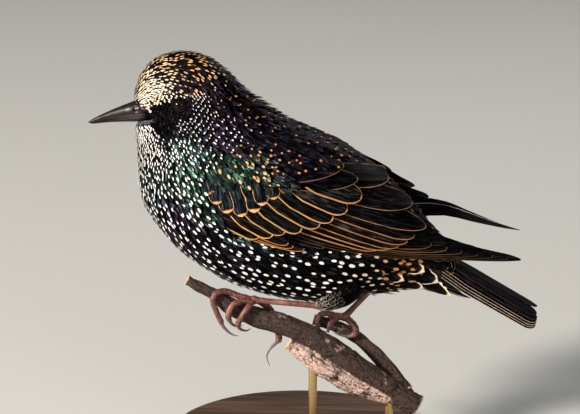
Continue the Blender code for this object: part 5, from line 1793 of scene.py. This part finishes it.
def scutes(pitch, height, under=0.5):
    """Half rings of scale on the upper side of a limb, stepped like tiles, with a soft pad beneath."""
    def bulge(run, turn):
        tile = run / pitch % 1
        step = height * (tile ** 1.5 - 0.35)
        upper = ease((np.cos(turn) + under) / 0.35)
        fine = 0.35 * height * np.sin(run / pitch * math.tau * 2.3) * np.sin(4 * turn)
        return 1 + step * upper + fine * (1 - upper)
    return bulge


def digit_rows(side, rows, steps):
    stem, x, turn = FOOTHOLDS[side]
    rows = np.array([(x, turn, PAD_RADIUS + PAD_GAP - rows[0][3], rows[0][3]), *rows], float)
    row = on_rows(rows, np.linspace(0, len(rows) - 1, (len(rows) - 1) * steps + 1))
    middle, outs = round_stem(stem, row[:, 0], row[:, 1], row[:, 2] + row[:, 3])
    return np.concatenate([middle, row[:, 3:4]], 1), outs


def scale_material():
    material = plain_material("leg_scales", (0.36, 0.17, 0.12), 0.45)
    tree = material.node_tree
    place = own_place(tree)
    mottle = noise_value(tree, place, 700.0, 4.0, 0.6)
    broad = noise_value(tree, place, 130.0, 2.0)
    speckled = fade(tree, mottle, 0.3, 0.75)
    colour = mix_colour(tree, speckled, (0.06, 0.02, 0.015, 1), (0.24, 0.085, 0.058, 1))
    colour = mix_colour(tree, fade(tree, broad, 0.5, 0.8), colour, (0.33, 0.155, 0.115, 1))
    # Painted shade: the grooves between the scutes are darkened.
    groove_shade = times(tree, attribute(tree, "groove_shade").outputs["Fac"], 0.75)
    return finish(material, {
        "Base Color": mix_colour(tree, groove_shade, colour, (0.07, 0.028, 0.022, 1)),
        "Roughness": scaled(tree, mottle, 0.3, 0.3),
        "Normal": relief_normal(tree, mottle, 0.35, 0.0002),
    })


def claw_material():
    material = plain_material("claw_horn", (0.11, 0.085, 0.085), 0.3)
    tree = material.node_tree
    grain = noise_value(tree, own_place(tree), 900.0, 3.0)
    colour = mix_colour(tree, grain, (0.055, 0.042, 0.045, 1), (0.24, 0.19, 0.19, 1))
    return finish(material, {"Base Color": colour})


SCALES, CLAW_HORN = scale_material(), claw_material()


def grooves(run, pitch, sides, low):
    """1 in the grooves between scutes on a limb's upper side, for each point of its rings: there shade is
    painted.
    """
    tile = run / pitch % 1
    near = np.clip(1 - np.minimum(tile, 1 - tile) / 0.12, 0, 1)
    return np.outer(near, np.cos(np.linspace(0, math.tau, sides, endpoint=False)) > low).ravel()


def shank(side, pad, heel):
    """The bare leg from the heel down to the pad, with scutes down its front."""
    way, reach = unit(heel - pad), float(length(heel - pad))
    run = np.linspace(0, 1, LEG_STEPS) * reach
    radius = np.interp(run, (0, 2.5, 6, reach - 4, reach - 1.5, reach), (1.75, 1.4, 1.2, 1.25, 1.6, 1.65))
    rows = np.concatenate([heel - way * run[:, None], radius[::-1, None]], 1)
    front = np.zeros((LEG_STEPS, 3)) + ((-1.0, 0.0, 0.0) if side == RIGHT else (-0.3, 0.0, 1.0))
    mesh = grid_mesh(tube(rows, front, LEG_SIDES, scutes(SHANK_PITCH, 0.1, 0.2)))
    return mesh, grooves(run, SHANK_PITCH, LEG_SIDES, -0.1)


def pad_ball(pad):
    t, turn = ring_grid(np.linspace(0.03, math.pi - 0.03, 12), 16)
    ball = np.stack([np.sin(t) * np.cos(turn), np.sin(t) * np.sin(turn), np.cos(t)], -1) * (PAD_RADIUS + 0.05)
    return grid_mesh((pad + ball)[::-1]), np.zeros(t.size)


def claw_form(run, turn):
    """Flat underneath, round above."""
    return 1 - 0.16 * (np.cos(turn) < -0.5) + run * 0


def toe_and_claw(side, toe_rows, numbers):
    rows, outs = digit_rows(side, numbers, TOE_STEPS)
    end = toe_rows * TOE_STEPS
    toe = rounded_ends(rows[: end + 1])
    toe_outs = outs[np.clip(np.arange(-CAP_STEPS, end + 1 + CAP_STEPS), 0, end)]
    mesh = grid_mesh(tube(toe, toe_outs, TOE_SIDES, scutes(TOE_PITCH, 0.13)))
    claw = rows[end - 3:].copy()
    claw[:, 3] = np.interp(np.arange(len(claw)), (0, 4, 10, len(claw) - 1), (0.7, 1.0, 0.78, 0.12))
    claw_mesh = grid_mesh(tube(claw, outs[end - 3:], CLAW_SIDES, claw_form))
    return (mesh, grooves(run_along(toe[:, :3]), TOE_PITCH, TOE_SIDES, -0.3)), claw_mesh


def make_leg(side):
    word = SIDE_NAMES[side]
    pad, _ = round_stem(*FOOTHOLDS[side], PAD_RADIUS + PAD_GAP)
    heel = np.array(HEELS[side])
    parts, claws = [shank(side, pad, heel), pad_ball(pad)], {}
    for digit, (toe_rows, numbers) in DIGITS[side].items():
        toe, claws[digit] = toe_and_claw(side, toe_rows, numbers)
        parts.append(toe)
    meshes, groove_shade = zip(*parts)
    points, faces = joined(meshes)
    leg = new_piece(f"leg_{word}", points, faces, SCALES, [f"tarsus_{word}", f"foot_{word}"])
    add_attribute(leg.data, "groove_shade", np.concatenate(groove_shade), "FLOAT")
    for digit, (points, faces) in claws.items():
        new_piece(f"claw_horn_{word}_{digit}", points, faces, CLAW_HORN, [f"claw_{word}_{digit}"])
    print("leg", word, "length", round(float(length(heel - pad)), 1), "mm, claws", len(claws))


for side in SIDE_NAMES:
    make_leg(side)

# %% [markdown]
# The perch is a cut length of branch with three stems. Bark is rough in two ways: long ridges and cracks that
# follow the stem, which are real relief here, and fine grain, which the material adds. The stems are welded
# into one surface first, and the relief is then pressed inwards only, so that the toes keep their places.

# %% Perch
BARK_DEPTH = 0.8


def stem_rows(stem, steps=8):
    rows = PERCH_STEMS[stem]
    return on_rows(rows, np.linspace(0, len(rows) - 1, (len(rows) - 1) * steps + 1))


def bark_material():
    material = plain_material("bark", (0.1, 0.06, 0.045), 0.85)
    tree = material.node_tree
    cut, painted_light_lower_stem, from_middle = split(tree, "on_stem")
    place = own_place(tree)
    fine = noise_value(tree, place, 1100.0, 5.0, 0.65)
    patch = noise_value(tree, place, 160.0, 4.0, 0.6)
    grain = fade(tree, fine, 0.3, 0.7)
    colour = mix_colour(tree, grain, (0.01, 0.005, 0.004, 1), (0.08, 0.038, 0.025, 1))
    pale = mix_colour(tree, grain, (0.34, 0.19, 0.14, 1), (0.74, 0.54, 0.44, 1))
    flakes = times(tree, fade(tree, patch, 0.6, 0.68), 0.55)
    # Painted light: the lower stem gets wide pale patches all round it, standing for light falling on it; the
    # small pale flakes on every stem are the bark's own flaking.
    flakes_and_painted_light = calc(tree, "MAXIMUM", flakes, times(tree, painted_light_lower_stem, fade(tree, patch, 0.35, 0.5)))
    colour = mix_colour(tree, flakes_and_painted_light, colour, pale)
    # Painted shade: the pressed-in cracks are darkened to near black.
    crack_painted_shade = times(tree, fade(tree, attribute(tree, "relief").outputs["Fac"], 0.35, 0.85), 0.85)
    colour = mix_colour(tree, crack_painted_shade, colour, (0.018, 0.01, 0.008, 1))
    wave = calc(tree, "SINE", times(tree, from_middle, 11.0))
    rings = scaled(tree, wave, 0.5, 0.5)
    wood = mix_colour(tree, rings, (0.62, 0.44, 0.28, 1), (0.48, 0.31, 0.18, 1))
    return finish(material, {
        "Base Color": mix_colour(tree, cut, colour, wood),
        "Normal": relief_normal(tree, fine, 0.7, 0.0005),
    })


def nearest_stem(points):
    """For places on the bark: the stem, how far along it, the angle round it, the distance to its middle."""
    best = np.full(len(points), 1e9)
    found = np.zeros((len(points), 4))
    for number, stem in enumerate(PERCH_STEMS):
        rows = stem_rows(stem, 12)
        away = length(points[:, None] - rows[:, :3])
        k = away.argmin(1)
        gap = away.min(1) - rows[k, 3]
        way = unit(np.gradient(rows[:, :3], axis=0))[k]
        side = unit(np.cross(way, (0.0, 1.0, 0.0)))
        other = np.cross(way, side)
        offset = points - rows[k, :3]
        angle = np.arctan2((offset * side).sum(-1), (offset * other).sum(-1))
        run = run_along(rows[:, :3])[k] + (offset * way).sum(-1)
        here = np.stack([np.full(len(points), number), run, angle, away.min(1)], -1)
        found = np.where((gap < best)[:, None], here, found)
        best = np.minimum(gap, best)
    return found


def on_bark(stem, run, angle, along, apart, around):
    """Places in a pattern that is drawn out along each stem and closes round it."""
    return [
        Vector((r * along + s * apart, math.cos(a) * around, math.sin(a) * around))
        for s, r, a in zip(stem, run, angle)
    ]


def cut_ends(places):
    """True for the places on the flat ends of the stems."""
    ends = np.zeros(len(places), bool)
    for rows in PERCH_STEMS.values():
        for end, near in ((rows[0], rows[1]), (rows[-1], rows[-2])):
            flat = np.abs((places - end[:3]) @ unit(end[:3] - near[:3])) < 0.35
            ends |= flat & (length(places - end[:3]) < end[3] * 1.02)
    return ends


def make_perch():
    parts = []
    for stem in PERCH_STEMS:
        rows = stem_rows(stem)
        up = np.zeros((len(rows), 3)) + (0.0, 1.0, 0.0)
        parts.append(grid_mesh(tube(rows, up, 32, lambda run, turn: 1 + run * 0 + turn * 0)))
    points, faces = joined(parts)
    perch = new_piece("branch", points, faces, bark_material(), ["perch"])
    remeshed(perch, 0.5, 1)
    places = mesh_points(perch.data)
    stem, run, angle, middle = nearest_stem(places).T
    normals = np.empty(len(places) * 3)
    perch.data.vertices.foreach_get("normal", normals)
    relief = [noise.fractal(place, 0.9, 2.3, 4) for place in on_bark(stem, run, angle, 0.1, 9, 2.4)]
    lumps = [noise.noise(place) for place in on_bark(stem, run, angle, 0.13, 5, 0.9)]
    cracks = np.clip(1 - np.abs(relief) / 0.26, 0, 1) ** 1.3
    swell = np.clip(np.array(lumps) * 1.1 + 0.5, 0, 1)
    ends = cut_ends(places)
    depth = np.where(ends, 0.0, BARK_DEPTH * (0.9 * cracks + 0.8 * (1 - swell)))
    places = places - normals.reshape(-1, 3) * depth[:, None]
    perch.data.vertices.foreach_set("co", (places * MM).ravel())
    perch.data.update()
    # The second number marks the lower stem, where the bark material paints light.
    on_stem = np.stack([ends.astype(float), (stem == 1).astype(float), np.where(ends, middle, 0)], -1)
    add_attribute(perch.data, "on_stem", on_stem, "FLOAT_VECTOR")
    # The same crack mask tells the bark material where to paint shade.
    add_attribute(perch.data, "relief", cracks, "FLOAT")
    return perch


perch = make_perch()
print("bark facets:", len(perch.data.polygons))

# %% [markdown]
# The stand is as plain as a museum's: a turned disc of dark stained wood and two short brass rods. The disc
# has a rounded edge with a shallow groove, as a lathe would leave it, and each rod sits in the disc with
# a small collar.

# %% Stand
# The profiles as distances from the middle and heights.
BASE_PROFILE = [
    (0.02, 0), (30, 0), (53.6, 0), (54.8, 0.25), (55.6, 0.9), (56, 2), (56, 5.4),
    (55.7, 6.3), (55, 6.75), (54.6, 6.9), (54.6, 7.2), (54.75, 7.6), (54.5, 8.6), (53.9, 9.4),
    (53, 9.85), (52, 10), (30, 10), (10, 10), (0.02, 10),
]
COLLAR_PROFILE = [
    (2, 9.9), (3.7, 9.9), (3.9, 10.15), (3.9, 10.9), (3.6, 11.3), (2.7, 11.5), (2.4, 11.8),
    (2.35, 13.2), (2.1, 13.5), (1.95, 13.5),
]
SHARP = math.radians(40)


def lathe(profile, centre, sides):
    """A turned form about an upright axis."""
    turn = np.linspace(0, math.tau, sides, endpoint=False)
    profile = np.array(profile)
    x = centre[0] + profile[:, :1] * np.cos(turn)
    y = centre[1] + profile[:, :1] * np.sin(turn)
    z = np.broadcast_to(profile[:, 1:], x.shape)
    return grid_mesh(np.stack([x, y, z], -1))


def stained_wood():
    material = plain_material("stained_wood", (0.06, 0.032, 0.02), 0.38, {"IOR": 1.3})
    tree = material.node_tree
    grain = noise_value(tree, own_place(tree, (0.06, 1.0, 0.5)), 330.0, 5.0, 0.6)
    return finish(material, {
        "Base Color": mix_colour(
            tree, fade(tree, grain, 0.3, 0.7), (0.03, 0.015, 0.009, 1), (0.105, 0.055, 0.032, 1)),
        "Roughness": scaled(tree, grain, 0.2, 0.5),
    })


def brushed_brass():
    material = plain_material("brass", (0.62, 0.42, 0.18), 0.3, {"Metallic": 1.0})
    tree = material.node_tree
    brushed = noise_value(tree, own_place(tree, (1.0, 1.0, 12.0)), 350.0, 3.0)
    return finish(material, {"Roughness": scaled(tree, brushed, 0.25, 0.2)})


points, faces = lathe(BASE_PROFILE, (0, 0), 160)
base = new_piece("stand_disc", points, faces, stained_wood(), ["stand_base"])
base.data.set_sharp_from_angle(angle=SHARP)
BRASS = brushed_brass()
for word in ("front", "rear"):
    low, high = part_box(f"stand_rod_{word}")
    rod = frame["nodes"][f"stand_rod_{word}"].data
    rod.materials.clear()
    rod.materials.append(BRASS)
    points, faces = lathe(COLLAR_PROFILE, ((low + high) / 2 / MM)[:2], 48)
    collar = new_piece(f"stand_collar_{word}", points, faces, BRASS, [])
    collar.data.set_sharp_from_angle(angle=SHARP)
print("stand disc:", 2 * max(radius for radius, _ in BASE_PROFILE), "mm across")
